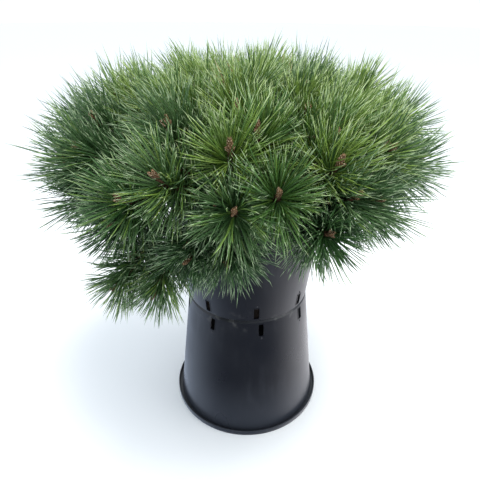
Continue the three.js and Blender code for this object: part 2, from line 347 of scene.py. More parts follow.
def looped_rings(rings: np.ndarray) -> Shape:
    """Skins rings of points and joins the last to the first."""
    count, sides, _ = rings.shape
    return plain(rings.reshape(-1, 3), grid_faces(count + 1, sides) % (count * sides))


def tube(curve: Bend, along: np.ndarray, radii: np.ndarray) -> Shape:
    """Returns rings, with their radii by ring and side, at shares of a curve's length."""
    out = spokes(*curve.sides(along), radii.shape[1])
    return closed_rings(curve.at(along)[:, None, :] + radii[..., None] * out)


def placed(shape: Shape, at: np.ndarray, axis: np.ndarray, turn: float, size: float) -> Shape:
    """Stands a shape that grows along +Z at a point.

    Args:
        shape: The shape.
        at: Where its origin goes.
        axis: The unit direction that its +Z turns to.
        turn: The turn about its own axis, in radians.
        size: The factor on its size.

    Returns:
        The moved shape.
    """
    spin = Matrix.Rotation(turn, 3, "Z")
    stand = Vector(axis).to_track_quat("Z", "Y").to_matrix() @ spin
    points = size * shape.points @ np.array(stand).T + at
    return Shape(points, shape.faces, shape.shades)


def add_piece(
    name: str,
    shape: Shape,
    finishes: Sequence[Material],
    slot: str,
    nodes: Sequence[str] = (),
    crease: float | None = None,
) -> bpy.types.Object:
    """Makes a smooth mesh object of a shape and ties it to the frame.

    Args:
        name: The piece's name.
        shape: Its points, triangles and finishes' places.
        finishes: The materials that the places point to.
        slot: Not used.
        nodes: The nodes that the piece stands for.
        crease: The angle in degrees from which an edge is sharp, or None for no such edge.

    Returns:
        The object.
    """
    mesh = bpy.data.meshes.new(name)
    count = len(shape.faces)
    mesh.vertices.add(len(shape.points))
    coordinates = (shape.points + AXIS) * METRE
    mesh.vertices.foreach_set("co", coordinates.astype(np.float32).ravel())
    mesh.loops.add(3 * count)
    mesh.loops.foreach_set("vertex_index", shape.faces.astype(np.int32).ravel())
    mesh.polygons.add(count)
    mesh.polygons.foreach_set("loop_start", np.arange(0, 3 * count, 3, dtype=np.int32))
    for finish in finishes:
        mesh.materials.append(finish)
    mesh.polygons.foreach_set("material_index", shape.shades.astype(np.int32))
    mesh.update(calc_edges=True)
    mesh.validate()
    mesh.shade_smooth()
    if crease is not None:
        mesh.set_sharp_from_angle(angle=math.radians(crease))
    piece = bpy.data.objects.new(name, mesh)
    bpy.context.scene.collection.objects.link(piece)
    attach(piece, BODY)
    if nodes:
        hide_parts(*nodes)
    log.info("%s: %d triangles, stands for %d nodes", name, count, len(nodes))
    return piece


class Bundle:
    """Many small shapes of one kind, joined into pieces of a limited number of triangles."""

    def __init__(self, name: str, finishes: Sequence[Material], slot: str) -> None:
        """Starts an empty bundle.

        Args:
            name: The start of the pieces' names.
            finishes: The materials that the shapes' places point to.
            slot: A slot name that is handed on to each piece.
        """
        self.name = name
        self.finishes = finishes
        self.slot = slot
        self.made = 0
        self.shapes: list[Shape] = []
        self.nodes: list[str] = []

    def add(self, shapes: Sequence[Shape], node: str) -> None:
        """Takes in one node's shapes, after finishing the piece if they would overfill it.

        Args:
            shapes: The shapes.
            node: The node that they stand for.
        """
        count = sum(len(shape.faces) for shape in shapes)
        held = sum(len(shape.faces) for shape in self.shapes)
        if held + count > PIECE_LIMIT:
            self.close()
        self.shapes.extend(shapes)
        self.nodes.append(node)

    def close(self) -> None:
        """Makes a piece of what is held."""
        if not self.shapes:
            return
        self.made += 1
        name = f"{self.name}_{self.made}"
        add_piece(name, Shape.joined(self.shapes), self.finishes, self.slot, self.nodes)
        self.shapes = []
        self.nodes = []


# ---- finishes ----


# A screen's curve: up to its foot it is straight, and past that a shifted power.
SCREEN_FOOT = 0.04045
SCREEN_SLOPE = 12.92
SCREEN_SHIFT = 0.055
SCREEN_POWER = 2.4


def linear(colour: Colour) -> Linear:
    """Turns a screen colour into a linear one.

    Args:
        colour: Its channels from 0 to 255.

    Returns:
        The linear channels from 0 to 1, and full cover.
    """
    parts = [channel / 255 for channel in colour]
    low = [part / SCREEN_SLOPE for part in parts]
    high = [((part + SCREEN_SHIFT) / (1 + SCREEN_SHIFT)) ** SCREEN_POWER for part in parts]
    red, green, blue = (a if p <= SCREEN_FOOT else b for p, a, b in zip(parts, low, high))
    return red, green, blue, 1.0


# The places of a mix node's two colours among its inputs, and of the mixed one.
MIX_FIRST = 6
MIX_SECOND = 7
MIX_RESULT = 2
WHOLE: Pair = (0.0, 1.0)


@dataclass(frozen=True)
class Mottle:
    """Cloudy noise, spread over a range.

    Attributes:
        scale: How many clouds go to the metre.
        detail: How many finer layers they have.
        source: The stretch of the noise that is spread.
        target: The range that it is spread over.
    """

    scale: float
    detail: float
    source: Pair
    target: Pair = WHOLE


class Nodes:
    """A tree of shading nodes, and the ways in which they are joined."""

    def __init__(self, tree: bpy.types.NodeTree) -> None:
        """Takes up a tree."""
        self.tree = tree

    def add(self, kind: str, **values: object) -> bpy.types.Node:
        """Adds a node.

        Args:
            kind: Its type.
            values: What its inputs are set to, each named with _ for a space.

        Returns:
            The node.
        """
        node = self.tree.nodes.new(kind)
        for name, value in values.items():
            node.inputs[name.replace("_", " ")].default_value = value
        return node

    def link(self, output: Socket, socket: Socket) -> None:
        """Joins an output to an input."""
        self.tree.links.new(output, socket)

    def span(self, value: Socket, source: Pair, target: Pair) -> Socket:
        """Carries a value smoothly from one range to another.

        Args:
            value: The value.
            source: The range that it comes from.
            target: The range that it goes to and is kept in.

        Returns:
            The value in the other range.
        """
        node = self.add("ShaderNodeMapRange")
        node.interpolation_type = "SMOOTHSTEP"
        node.inputs["From Min"].default_value, node.inputs["From Max"].default_value = source
        node.inputs["To Min"].default_value, node.inputs["To Max"].default_value = target
        self.link(value, node.inputs["Value"])
        return node.outputs["Result"]

    def mix(self, share: Socket, first: Linear | Socket, second: Linear | Socket) -> Socket:
        """Mixes two linear colours.

        Args:
            share: The share of the second, from 0 to 1.
            first: The colour where that is 0.
            second: The colour where it is 1.

        Returns:
            The mixed colour.
        """
        node = self.add("ShaderNodeMix")
        node.data_type = "RGBA"
        for place, colour in ((MIX_FIRST, first), (MIX_SECOND, second)):
            if isinstance(colour, tuple):
                node.inputs[place].default_value = colour
            else:
                self.link(colour, node.inputs[place])
        self.link(share, node.inputs["Factor"])
        return node.outputs[MIX_RESULT]


class Shader(Nodes):
    """A material with one principled shader, and the nodes that vary it over the object."""

    faint_sheen: ClassVar[float] = 0.05

    def __init__(self, name: str, colour: Colour, roughness: float) -> None:
        """Makes the material.

        Args:
            name: Its name.
            colour: The screen colour where nothing varies it.
            roughness: The roughness where nothing varies it.
        """
        self.material = bpy.data.materials.new(name)
        self.material.use_nodes = True
        super().__init__(self.material.node_tree)
        self.base = self.tree.nodes["Principled BSDF"]
        self.base.inputs["Base Color"].default_value = linear(colour)
        self.base.inputs["Roughness"].default_value = roughness
        self.place = self.add("ShaderNodeTexCoord").outputs["Object"]

    def stretched(self, scale: Triple) -> Socket:
        """Scales the place on the object.

        Args:
            scale: The factor by axis.

        Returns:
            The scaled place.
        """
        mapping = self.add("ShaderNodeMapping", Scale=scale)
        self.link(self.place, mapping.inputs["Vector"])
        return mapping.outputs["Vector"]

    def noise(self, scale: float, detail: float = 3.0, place: Socket | None = None) -> Socket:
        """Adds cloudy noise.

        Args:
            scale: How many clouds go to the metre.
            detail: How many finer layers they have.
            place: The place that it goes by, or None for the place on the object.

        Returns:
            The noise, from 0 to 1.
        """
        node = self.add("ShaderNodeTexNoise", Scale=scale, Detail=detail)
        self.link(place or self.place, node.inputs["Vector"])
        return node.outputs["Fac"]

    def cells(self, scale: float) -> Socket:
        """Adds scattered cells.

        Args:
            scale: How many go to the metre.

        Returns:
            The distance from their middles.
        """
        node = self.add("ShaderNodeTexVoronoi", Scale=scale)
        self.link(self.place, node.inputs["Vector"])
        return node.outputs["Distance"]

    def height(self) -> Socket:
        """Finds the height.

        Returns:
            The height in metres.
        """
        node = self.add("ShaderNodeSeparateXYZ")
        self.link(self.place, node.inputs["Vector"])
        return node.outputs["Z"]

    def mottled(self, mottle: Mottle) -> Socket:
        """Returns cloudy noise that is spread over a range."""
        noise = self.noise(mottle.scale, mottle.detail)
        return self.span(noise, mottle.source, mottle.target)

    def product(self, first: Socket, second: Socket) -> Socket:
        """Multiplies two values.

        Args:
            first: One value.
            second: The other.

        Returns:
            Their product.
        """
        node = self.add("ShaderNodeMath")
        node.operation = "MULTIPLY"
        self.link(first, node.inputs[0])
        self.link(second, node.inputs[1])
        return node.outputs["Value"]

    def between(self, share: Socket, first: Colour | Socket, second: Colour) -> Socket:
        """Returns the mix of a colour that may vary and a second, at the second's share."""
        start = linear(first) if isinstance(first, tuple) else first
        return self.mix(share, start, linear(second))

    def tint(self, colour: Socket) -> None:
        """Sets the base colour."""
        self.link(colour, self.base.inputs["Base Color"])

    def rough(self, value: Socket) -> None:
        """Sets the roughness."""
        self.link(value, self.base.inputs["Roughness"])

    def dull(self) -> None:
        """Takes nearly all of the sheen off."""
        self.base.inputs["Specular IOR Level"].default_value = self.faint_sheen

    def bump(self, height: Socket, depth: float) -> None:
        """Raises the surface.

        Args:
            height: The relief, from 0 to 1.
            depth: How many metres a relief of 1 stands up.
        """
        node = self.add("ShaderNodeBump", Distance=depth)
        self.link(height, node.inputs["Height"])
        self.link(node.outputs["Normal"], self.base.inputs["Normal"])


@dataclass(frozen=True)
class MouldedPlastic:
    """Black plastic with a soft sheen, cloudy scuffs, dust at the seam, and a painted reflection of
    the floor that makes it paler towards the ground; its inside is darker, as painted shade.
    """

    colour: Colour = (22, 24, 31)
    worn: Colour = (38, 40, 47)
    dust: Colour = (92, 92, 90)
    # A paler colour near the ground: a painted reflection of the floor.
    painted_floor_reflection: Colour = (60, 64, 72)
    # The inside's darker colour is painted shade.
    inside: Colour = (7, 7, 8)
    roughness: Pair = (0.26, 0.40)
    inside_roughness: float = 0.9
    clouds: float = 9.0
    streaks: float = 60.0
    scuff_detail: float = 4.0
    streak_scale: Triple = (1.0, 1.0, 0.16)
    scuffed_clouds: Pair = (0.45, 0.75)
    scuffed_streaks: Pair = (0.42, 0.7)
    dulled_clouds: Pair = (0.3, 0.7)
    seam: float = 0.2525
    dust_band: float = 0.03
    blotches: Mottle = Mottle(70.0, 6.0, (0.54, 0.7), (0.0, 0.4))
    painted_reflection_band: Pair = (0.02, 0.13)
    painted_reflection_cover: Pair = (0.55, 0.0)
    grain: float = 900.0
    grain_detail: float = 2.0
    grain_depth: float = 0.00006

    def material(self) -> Material:
        """Makes the finish of the outside.

        Returns:
            The material.
        """
        shader = Shader("black_plastic", self.colour, self.roughness[0])
        clouds = shader.noise(self.clouds, self.scuff_detail)
        run = shader.stretched(self.streak_scale)
        streaks = shader.noise(self.streaks, self.scuff_detail, run)
        worn = shader.product(
            shader.span(clouds, self.scuffed_clouds, WHOLE),
            shader.span(streaks, self.scuffed_streaks, WHOLE),
        )
        body = shader.between(worn, self.colour, self.worn)
        height = shader.height()
        low = shader.span(height, (self.seam - self.dust_band, self.seam), WHOLE)
        high = shader.span(height, (self.seam, self.seam + self.dust_band), (1.0, 0.0))
        near_seam = shader.product(low, high)
        dusty = shader.product(near_seam, shader.mottled(self.blotches))
        # Paler towards the ground: a painted reflection of the floor.
        painted_reflection_share = shader.span(height, self.painted_reflection_band, self.painted_reflection_cover)
        body = shader.between(painted_reflection_share, body, self.painted_floor_reflection)
        shader.tint(shader.between(dusty, body, self.dust))
        shader.rough(shader.span(clouds, self.dulled_clouds, self.roughness))
        shader.bump(shader.noise(self.grain, self.grain_detail), self.grain_depth)
        return shader.material

    def unlit(self) -> Material:
        """Makes the dull finish of the inside, whose darker colour and missing sheen are painted
        shade.

        Returns:
            The material.
        """
        shader = Shader("inside_plastic", self.inside, self.inside_roughness)
        shader.dull()
        shader.bump(shader.noise(self.grain, self.grain_detail), self.grain_depth)
        return shader.material


@dataclass(frozen=True)
class ScalyBark:
    """Brown bark with grey flakes and darker cracks."""

    name: str
    colour: Colour
    crack: Colour
    flake: Colour
    grain: float
    cracked: Pair = (0.25, 0.6)
    crack_cover: Pair = (0.0, 0.75)
    flake_detail: float = 5.0
    flaked: Pair = (0.52, 0.68)
    flake_cover: Pair = (0.0, 0.8)
    dulled: Pair = (0.3, 0.7)
    roughness: Pair = (0.75, 0.95)
    plain_roughness: float = 0.85
    relief: float = 2.0
    relief_detail: float = 6.0
    relief_depth: float = 0.0006

    def material(self) -> Material:
        """Makes the bark.

        Returns:
            The material.
        """
        shader = Shader(self.name, self.colour, self.plain_roughness)
        cracks = shader.span(shader.cells(self.grain), self.cracked, self.crack_cover)
        body = shader.between(cracks, self.colour, self.crack)
        flakes = shader.noise(self.grain, self.flake_detail)
        flakes = shader.span(flakes, self.flaked, self.flake_cover)
        shader.tint(shader.between(flakes, body, self.flake))
        shader.rough(shader.span(shader.noise(self.grain), self.dulled, self.roughness))
        relief = shader.noise(self.relief * self.grain, self.relief_detail)
        shader.bump(relief, self.relief_depth)
        return shader.material


@dataclass(frozen=True)
class WaxySkin:
    """The skin of needles and sheaths: one colour, with fine waxy dulling."""

    name: str
    colour: Colour
    dulling: Mottle = Mottle(160.0, 2.0, (0.35, 0.65), (0.30, 0.44))

    def material(self) -> Material:
        """Makes the skin.

        Returns:
            The material.
        """
        shader = Shader(self.name, self.colour, self.dulling.target[0])
        shader.rough(shader.mottled(self.dulling))
        return shader.material


@dataclass(frozen=True)
class BudSkin:
    """The papery scales of a bud, or the resin on them."""

    name: str
    colour: Colour
    shaded: Colour
    roughness: float
    patches: Mottle = Mottle(420.0, 3.0, (0.42, 0.62))
    grain: float = 1500.0
    grain_depth: float = 0.0002

    def material(self) -> Material:
        """Makes the skin.

        Returns:
            The material.
        """
        shader = Shader(self.name, self.colour, self.roughness)
        shader.tint(shader.between(shader.mottled(self.patches), self.colour, self.shaded))
        shader.bump(shader.noise(self.grain), self.grain_depth)
        return shader.material


@dataclass(frozen=True)
class DampMix:
    """Dark potting mix of peat with paler fibres."""

    colour: Colour = (22, 17, 14)
    fibre: Colour = (50, 40, 32)
    specks: Mottle = Mottle(260.0, 6.0, (0.56, 0.68), (0.0, 0.5))
    dulling: Mottle = Mottle(60.0, 3.0, (0.35, 0.65), (0.8, 0.98))
    plain_roughness: float = 0.92
    crumbs: float = 420.0
    crumb_detail: float = 6.0
    crumb_depth: float = 0.0016

    def material(self) -> Material:
        """Makes the mix.

        Returns:
            The material.
        """
        shader = Shader("potting_mix", self.colour, self.plain_roughness)
        shader.dull()
        shader.tint(shader.between(shader.mottled(self.specks), self.colour, self.fibre))
        shader.rough(shader.mottled(self.dulling))
        shader.bump(shader.noise(self.crumbs, self.crumb_detail), self.crumb_depth)
        return shader.material


@dataclass(frozen=True)
class PaleFloor:
    """The plain pale floor."""

    colour: Colour = (250, 251, 252)
    roughness: float = 0.7

    def material(self) -> Material:
        """Returns the material."""
        return Shader("pale_floor", self.colour, self.roughness).material


class Green(Enum):
    """The shades that needles are dealt, from sunlit to shaded, with the dead and the sheath."""

    SUNLIT = (121, 149, 63)
    BRIGHT = (99, 131, 56)
    FRESH = (73, 111, 52)
    LEAFY = (56, 94, 47)
    DEEP = (43, 76, 40)
    FROSTED = (75, 107, 61)
    BLUISH = (57, 90, 50)
    DUSKY = (42, 71, 40)
    DEAD = (128, 78, 44)
    SHEATH = (92, 74, 52)


GREENS = list(Green)
# The pale colour of painted highlights on the needles' outer parts and tips.
PALE: Colour = (200, 212, 178)
# The shares by which a needle's outer part and its tip are paler than its foot, as painted
# highlights.
OUTER_PALE = 0.16
TIP_PALE = 0.55


def paled(colour: Colour, share: float) -> Colour:
    """Returns a shade carried by a share towards the pale one, for a painted highlight."""
    return tuple(round(own + share * (pale - own)) for own, pale in zip(colour, PALE))


# The shades from the palest to the darkest, for green sprays and for bluish ones.
WARM = [Green.SUNLIT, Green.BRIGHT, Green.FRESH, Green.LEAFY, Green.DEEP]
COOL = [Green.FROSTED, Green.FROSTED, Green.BLUISH, Green.BLUISH, Green.DUSKY]


# ---- the skeleton of the crown ----


@dataclass(frozen=True)
class Tier:
    """A ring of like limbs.

    Attributes:
        name: The start of its nodes' names.
        azimuths: Where its limbs point.
        latitude: Where on the dome the shoots end, in degrees.
        shoots: How many shoots each limb forks into.
        spread: Degrees from a limb to its outer shoots.
        stagger: Degrees by which that falls or rises from one shoot to the next.
        leave: How far up the trunk the boughs leave.
        leave_step: How much higher every other bough leaves.
        bough_radius: A bough's radius at the trunk.
        bough_height: The height that the boughs end at.
        fork_reach: How far out the limbs fork.
        beyond: How far outside the dome the shoots end.
        sag: How far below it they end.
    """

    name: str
    azimuths: tuple[float, ...]
    latitude: float
    shoots: int = 2
    spread: float = 0
    stagger: float = 0
    leave: float = 0
    leave_step: float = 0
    bough_radius: float = 0
    bough_reach: float = 0
    bough_height: float = 0
    fork_reach: float = 0
    beyond: float = 0
    sag: float = 0


TIERS = (
    Tier(
        "crown", (-42, 78, 198), shoots=3, spread=40, latitude=61, stagger=2,
        leave=94, fork_reach=26,
    ),
    Tier(
        "upper", (-76, -15, 20, 55, 108, 165, 224), spread=13, latitude=40,
        stagger=-4, leave=70, leave_step=12, bough_radius=7, bough_reach=72,
        bough_height=562, fork_reach=88,
    ),
    Tier(
        "brow", (37, 200), spread=9.5, latitude=25, leave=60,
        bough_radius=6.5, bough_reach=108, bough_height=556, fork_reach=122,
    ),
    Tier(
        "shoulder", (-76, -43, -10, 59, 100, 148, 196, 244), spread=11,
        latitude=11, stagger=-8, leave=42, leave_step=13, bough_radius=7.5,
        bough_reach=122, bough_height=537, fork_reach=138,
    ),
    Tier(
        "middle", (20.5,), spread=11, latitude=5, stagger=-3, leave=55,
        bough_radius=7.5, bough_reach=122, bough_height=537, fork_reach=138,
    ),
    Tier(
        "skirt", (-92, -49, 124, 172, 220), spread=9.5, latitude=-9, leave=16,
        leave_step=12, bough_radius=6.5, bough_reach=156, bough_height=520, fork_reach=170,
    ),
    Tier(
        "flank", (31,), spread=9, latitude=-5, stagger=3, leave=16,
        bough_radius=6.5, bough_reach=156, bough_height=520, fork_reach=170,
    ),
    Tier(
        "hanging", (-30.8,), spread=6, latitude=-68, leave=22, bough_radius=6.5,
        bough_reach=158, bough_height=519, fork_reach=172, beyond=173, sag=31,
    ),
    Tier(
        "front", (-10,), spread=6, latitude=-37.5, leave=20, bough_radius=6.5,
        bough_reach=158, bough_height=519, fork_reach=172, beyond=24,
    ),
)
# To which sides of a limb its shoots go, by how many it has.
FORKS = {2: (-1, 1), 3: (-1, 0, 1)}
LEADER = Tier("leader", (18, 138, 258), shoots=1, latitude=78, sag=12)


@dataclass
class Limb:
    """One limb: its bough, the stem of its mass and the shoots that the stem forks into."""

    name: str
    stem: Bend
    shoots: list[Bend]
    bough: Bend | None = None
    bough_radius: float = 0.0


@dataclass(frozen=True)
class Skeleton:
    """The trunk, and the rule by which limbs leave it and shoots end on a flattened dome."""

    foot: float = 483.2
    height: float = 112.0
    lean: Pair = (-7.0, -4.0)
    straight: float = 0.4
    dome: Triple = (-12.0, 0.0, 530.0)
    dome_radius: float = 277.0
    dome_rise: float = 104.0
    dome_fullness: float = 0.68
    aim_level: float = 40.0
    aim_slope: float = 0.95
    aim_most: float = 84.0
    shoot_bend: float = 0.36
    shoot_wobble: float = 7.0
    azimuth_share: float = 0.3
    latitude_share: float = 0.4
    bough_knee: float = 0.55
    bough_crest: float = 2.0
    stem_turn: float = 0.6
    leader_stem: float = 8.0
    shoots_apart: int = 3

    def trunk(self) -> Bend:
        """Grows the trunk.

        Returns:
            Its curve.
        """
        return Bend(
            np.array([0.0, 0.0, self.foot]),
            np.array([0.0, 0.0, self.foot + self.height * self.straight]),
            np.array([*self.lean, self.foot + self.height]),
        )

    def on_dome(self, azimuth: float, latitude: float, tier: Tier) -> np.ndarray:
        """Finds where a shoot ends.

        Args:
            azimuth: Where on the dome, in degrees.
            latitude: Likewise.
            tier: The tier, which may be off the dome.

        Returns:
            The point.
        """
        angle = math.radians(latitude)
        x, y, z = self.dome
        reach = self.dome_radius * math.cos(angle) + tier.beyond
        steep = math.copysign(abs(math.sin(angle)) ** self.dome_fullness, angle)
        height = z + self.dome_rise * steep - tier.sag
        return polar(azimuth, reach, height) + np.array([x, y, 0.0])

    def shoot(
        self, fork: np.ndarray, azimuth: float, latitude: float, tier: Tier, serial: int
    ) -> Bend:
        """Grows a shoot.

        Args:
            fork: Where it starts.
            azimuth: Where on the dome it ends, before its wobble.
            latitude: Likewise.
            tier: The tier that it belongs to.
            serial: The number that its wobble depends on.

        Returns:
            The shoot's curve.
        """
        lift = self.shoot_wobble * wobble(serial, 1)
        drift = self.shoot_wobble * wobble(serial, 2)
        end = self.on_dome(
            azimuth + self.azimuth_share * lift,
            latitude + self.latitude_share * drift,
            tier,
        )
        rise = self.aim_level + self.aim_slope * latitude + lift
        rise = math.radians(min(rise, self.aim_most))
        aim = polar(azimuth, math.cos(rise), math.sin(rise))
        knee = end - self.shoot_bend * np.linalg.norm(end - fork) * aim
        return Bend(fork, knee, end)

    def limb(self, tier: Tier, index: int, serial: int) -> Limb:
        """Grows one limb of a tier.

        Args:
            tier: The tier.
            index: The limb's place in it.
            serial: The limb's place in the crown.

        Returns:
            The limb.
        """
        azimuth = tier.azimuths[index]
        leave = self.trunk().at((tier.leave + tier.leave_step * (index % 2)) / self.height)
        ends = [
            (azimuth + side * tier.spread, tier.latitude + side * tier.stagger)
            for side in FORKS[tier.shoots]
        ]
        bough = None
        start = leave
        heading = unit(polar(azimuth, 1.0, 1.0))
        if tier.bough_reach:
            tip = polar(azimuth, tier.bough_reach, tier.bough_height)
            knee = polar(azimuth, self.bough_knee * tier.bough_reach, tip[2] + self.bough_crest)
            bough = Bend(leave, knee, tip)
            heading = bough.heading(LIMB_END)
            start = tip + heading * GAP
        target = np.mean([self.on_dome(*end, tier) for end in ends], axis=0)
        reach = math.hypot(target[0], target[1])
        share = (tier.fork_reach - tier.bough_reach) / (reach - tier.bough_reach)
        fork = start + share * (target - start)
        turn = start + heading * self.stem_turn * np.linalg.norm(fork - start)
        shoots = [
            self.shoot(fork, *end, tier, self.shoots_apart * serial + k)
            for k, end in enumerate(ends)
        ]
        name = f"{tier.name}_{index + 1}"
        return Limb(name, Bend(start, turn, fork), shoots, bough, tier.bough_radius)

    def leader(self, serial: int) -> Limb:
        """Grows the shoots on the trunk's tip.

        Args:
            serial: The leader's place in the crown.

        Returns:
            The leader.
        """
        trunk = self.trunk()
        heading = trunk.heading(LIMB_END)
        start = trunk.tip + heading * GAP
        fork = start + heading * self.leader_stem
        shoots = [
            self.shoot(fork, azimuth, LEADER.latitude, LEADER, self.shoots_apart * serial + k)
            for k, azimuth in enumerate(LEADER.azimuths)
        ]
        return Limb("leader", Bend(start, (start + fork) / 2, fork), shoots)

    def limbs(self) -> list[Limb]:
        """Grows every limb.

        Returns:
            The limbs in the order of the tiers, and last the leader.
        """
        grown: list[Limb] = []
        for tier in TIERS:
            for index in range(len(tier.azimuths)):
                grown.append(self.limb(tier, index, len(grown)))
        grown.append(self.leader(len(grown)))
        return grown


# ---- room for needles ----


@dataclass
class Room:
    """What needles keep clear of: other shoots, the wood and the container.

    Attributes:
        crossing: How far needles may reach past the middle between two shoots.
        off_core: How near they may come to another shoot.
        off_wood: How near they may come to the line of a bough or a stem.
        off_trunk: How near they may come to the trunk's line.
        off_rim: How near they may come to the container's rim.
        ceiling: The height that no needle passes.
        wood_steps: How many straight steps a bough or the trunk is measured by.
    """

    skeleton: Skeleton
    limbs: list[Limb]
    crossing: float = 24.0
    off_core: float = 7.0
    off_wood: float = 6.0
    off_trunk: float = 20.0
    rim_height: float = 504.9
    rim_radius: float = 150.0
    off_rim: float = 2.5
    ceiling: float = 712.0
    shoot_steps: int = 3
    stem_steps: int = 2
    wood_steps: int = 4

    def __post_init__(self) -> None:
        """Lays out the lines to measure against."""
        shoots = [shoot for limb in self.limbs for shoot in limb.shoots]
        cores = [shoot.segments(self.shoot_steps) for shoot in shoots]
        self.shoots = len(cores)
        self.core_starts = np.concatenate([core[0] for core in cores])
        self.core_ends = np.concatenate([core[1] for core in cores])
        wood = [limb.stem.segments(self.stem_steps) for limb in self.limbs]
        boughs = [limb.bough for limb in self.limbs if limb.bough]
        wood += [bough.segments(self.wood_steps) for bough in boughs]
        self.wood_starts = np.concatenate([line[0] for line in wood])
        self.wood_ends = np.concatenate([line[1] for line in wood])
        self.trunk_line = self.skeleton.trunk().segments(self.wood_steps)

    def core_distances(self, points: np.ndarray) -> np.ndarray:
        """Returns the distance of each point to each shoot."""
        apart = distances(points, self.core_starts, self.core_ends)
        return apart.reshape(len(points), self.shoots, self.shoot_steps).min(axis=2)

    def free(self, points: np.ndarray, own: int) -> np.ndarray:
        """Tells which points a shoot's needles may take.

        Args:
            points: Points in rows.
            own: The shoot's number.

        Returns:
            True for each free point.
        """
        apart = self.core_distances(points)
        home = apart[:, own].copy()
        apart[:, own] = np.inf
        nearest = apart.min(axis=1)
        wood = distances(points, self.wood_starts, self.wood_ends).min(axis=1)
        trunk = distances(points, *self.trunk_line).min(axis=1)
        reach = np.hypot(points[:, 0], points[:, 1])
        above = points[:, 2] > self.rim_height + self.off_rim
        outside = reach > self.rim_radius + self.off_rim
        return (
            (nearest > self.off_core)
            & (home < nearest + self.crossing)
            & (wood > self.off_wood)
            & (trunk > self.off_trunk)
            & (above | outside)
            & (points[:, 2] < self.ceiling)
        )


# ---- needles ----


LARGEST_DRAW = 1.3
NEEDLE_SIDES = 3


def mild(draws: np.ndarray) -> np.ndarray:
    """Returns normal draws without the rare large ones, so that no needle stands out alone."""
    return np.clip(draws, -LARGEST_DRAW, LARGEST_DRAW)


@dataclass
class Needles:
    """Needles that bend evenly, one to a row.

    Attributes:
        roots: Where they start.
        starts: The unit directions that they start in.
        bends: What the direction gains by the tip.
        lengths: Their lengths.
    """

    roots: np.ndarray
    starts: np.ndarray
    bends: np.ndarray
    lengths: np.ndarray

    def at(self, shares: np.ndarray) -> np.ndarray:
        """Finds places on the needles.

        Args:
            shares: Shares of the length, the same for each needle.

        Returns:
            The places, by needle, share and coordinate.
        """
        share = shares[None, :, None]
        return self.roots[:, None, :] + self.lengths[:, None, None] * (
            share * self.starts[:, None, :] + 0.5 * share**2 * self.bends[:, None, :]
        )

    def tips(self) -> np.ndarray:
        """Returns their tips, in rows."""
        return self.roots + self.lengths[:, None] * (self.starts + 0.5 * self.bends)

    def kept(self, keep: np.ndarray, shares: np.ndarray) -> "Needles":
        """Returns the needles to keep, each cut to a share of its length."""
        lengths = (shares * self.lengths)[keep]
        return Needles(self.roots[keep], self.starts[keep], self.bends[keep], lengths)


@dataclass(frozen=True)
class NeedleCoat:
    """The needles of one kind of shoot.

    Attributes:
        pairs: How many pairs of needles the shoot carries.
        length: A needle's length.
        length_wobble: The share by which it varies.
        first: The share of the shoot at which they start.
        bare: The length left bare below the bud.
        crowding: How much they crowd towards the shoot's end, less than 1 for more.
        turn_wobble: Radians by which a pair's place round the shoot varies.
        root_angle: A needle's angle off the shoot at the shoot's root, in degrees.
        tip_angle: The same at the shoot's end.
        narrowing: How early the angle narrows.
        angle_wobble: Degrees by which it varies.
        fork: Degrees between the two needles of a pair, halved.
        forking: The share of that which a pair has.
        weak: The share of its length that a needle has on a shoot that ends low.
        weak_height: The height up to which it has that, and from which it has it all.
        widening: The share of the width that a needle has.
        curl: How far a needle bends in towards the shoot, as a share of its length.
        stray: How far it bends at random.
        lift: How far it bends up.
        root_depth: How deep its root is sunk in the twig.
        spray: How many pairs share a shade.
    """

    pairs: int
    length: float
    length_wobble: float = 0.08
    first: float = 0.26
    bare: float = 17.0
    crowding: float = 0.8
    turn_wobble: float = 0.12
    root_angle: float = 98.0
    tip_angle: float = 36.0
    narrowing: float = 1.3
    angle_wobble: float = 9.5
    fork: float = 6.0
    forking: Variation = Variation(0.5, 1.0)
    weak: float = 0.74
    weak_height: Pair = (440.0, 540.0)
    width: float = 1.3
    widening: Variation = Variation(0.85, 0.3)
    curl: float = 0.42
    stray: float = 0.34
    lift: float = 0.05
    root_depth: float = 1.2
    twig_radius: float = 3.4
    spray: int = 5


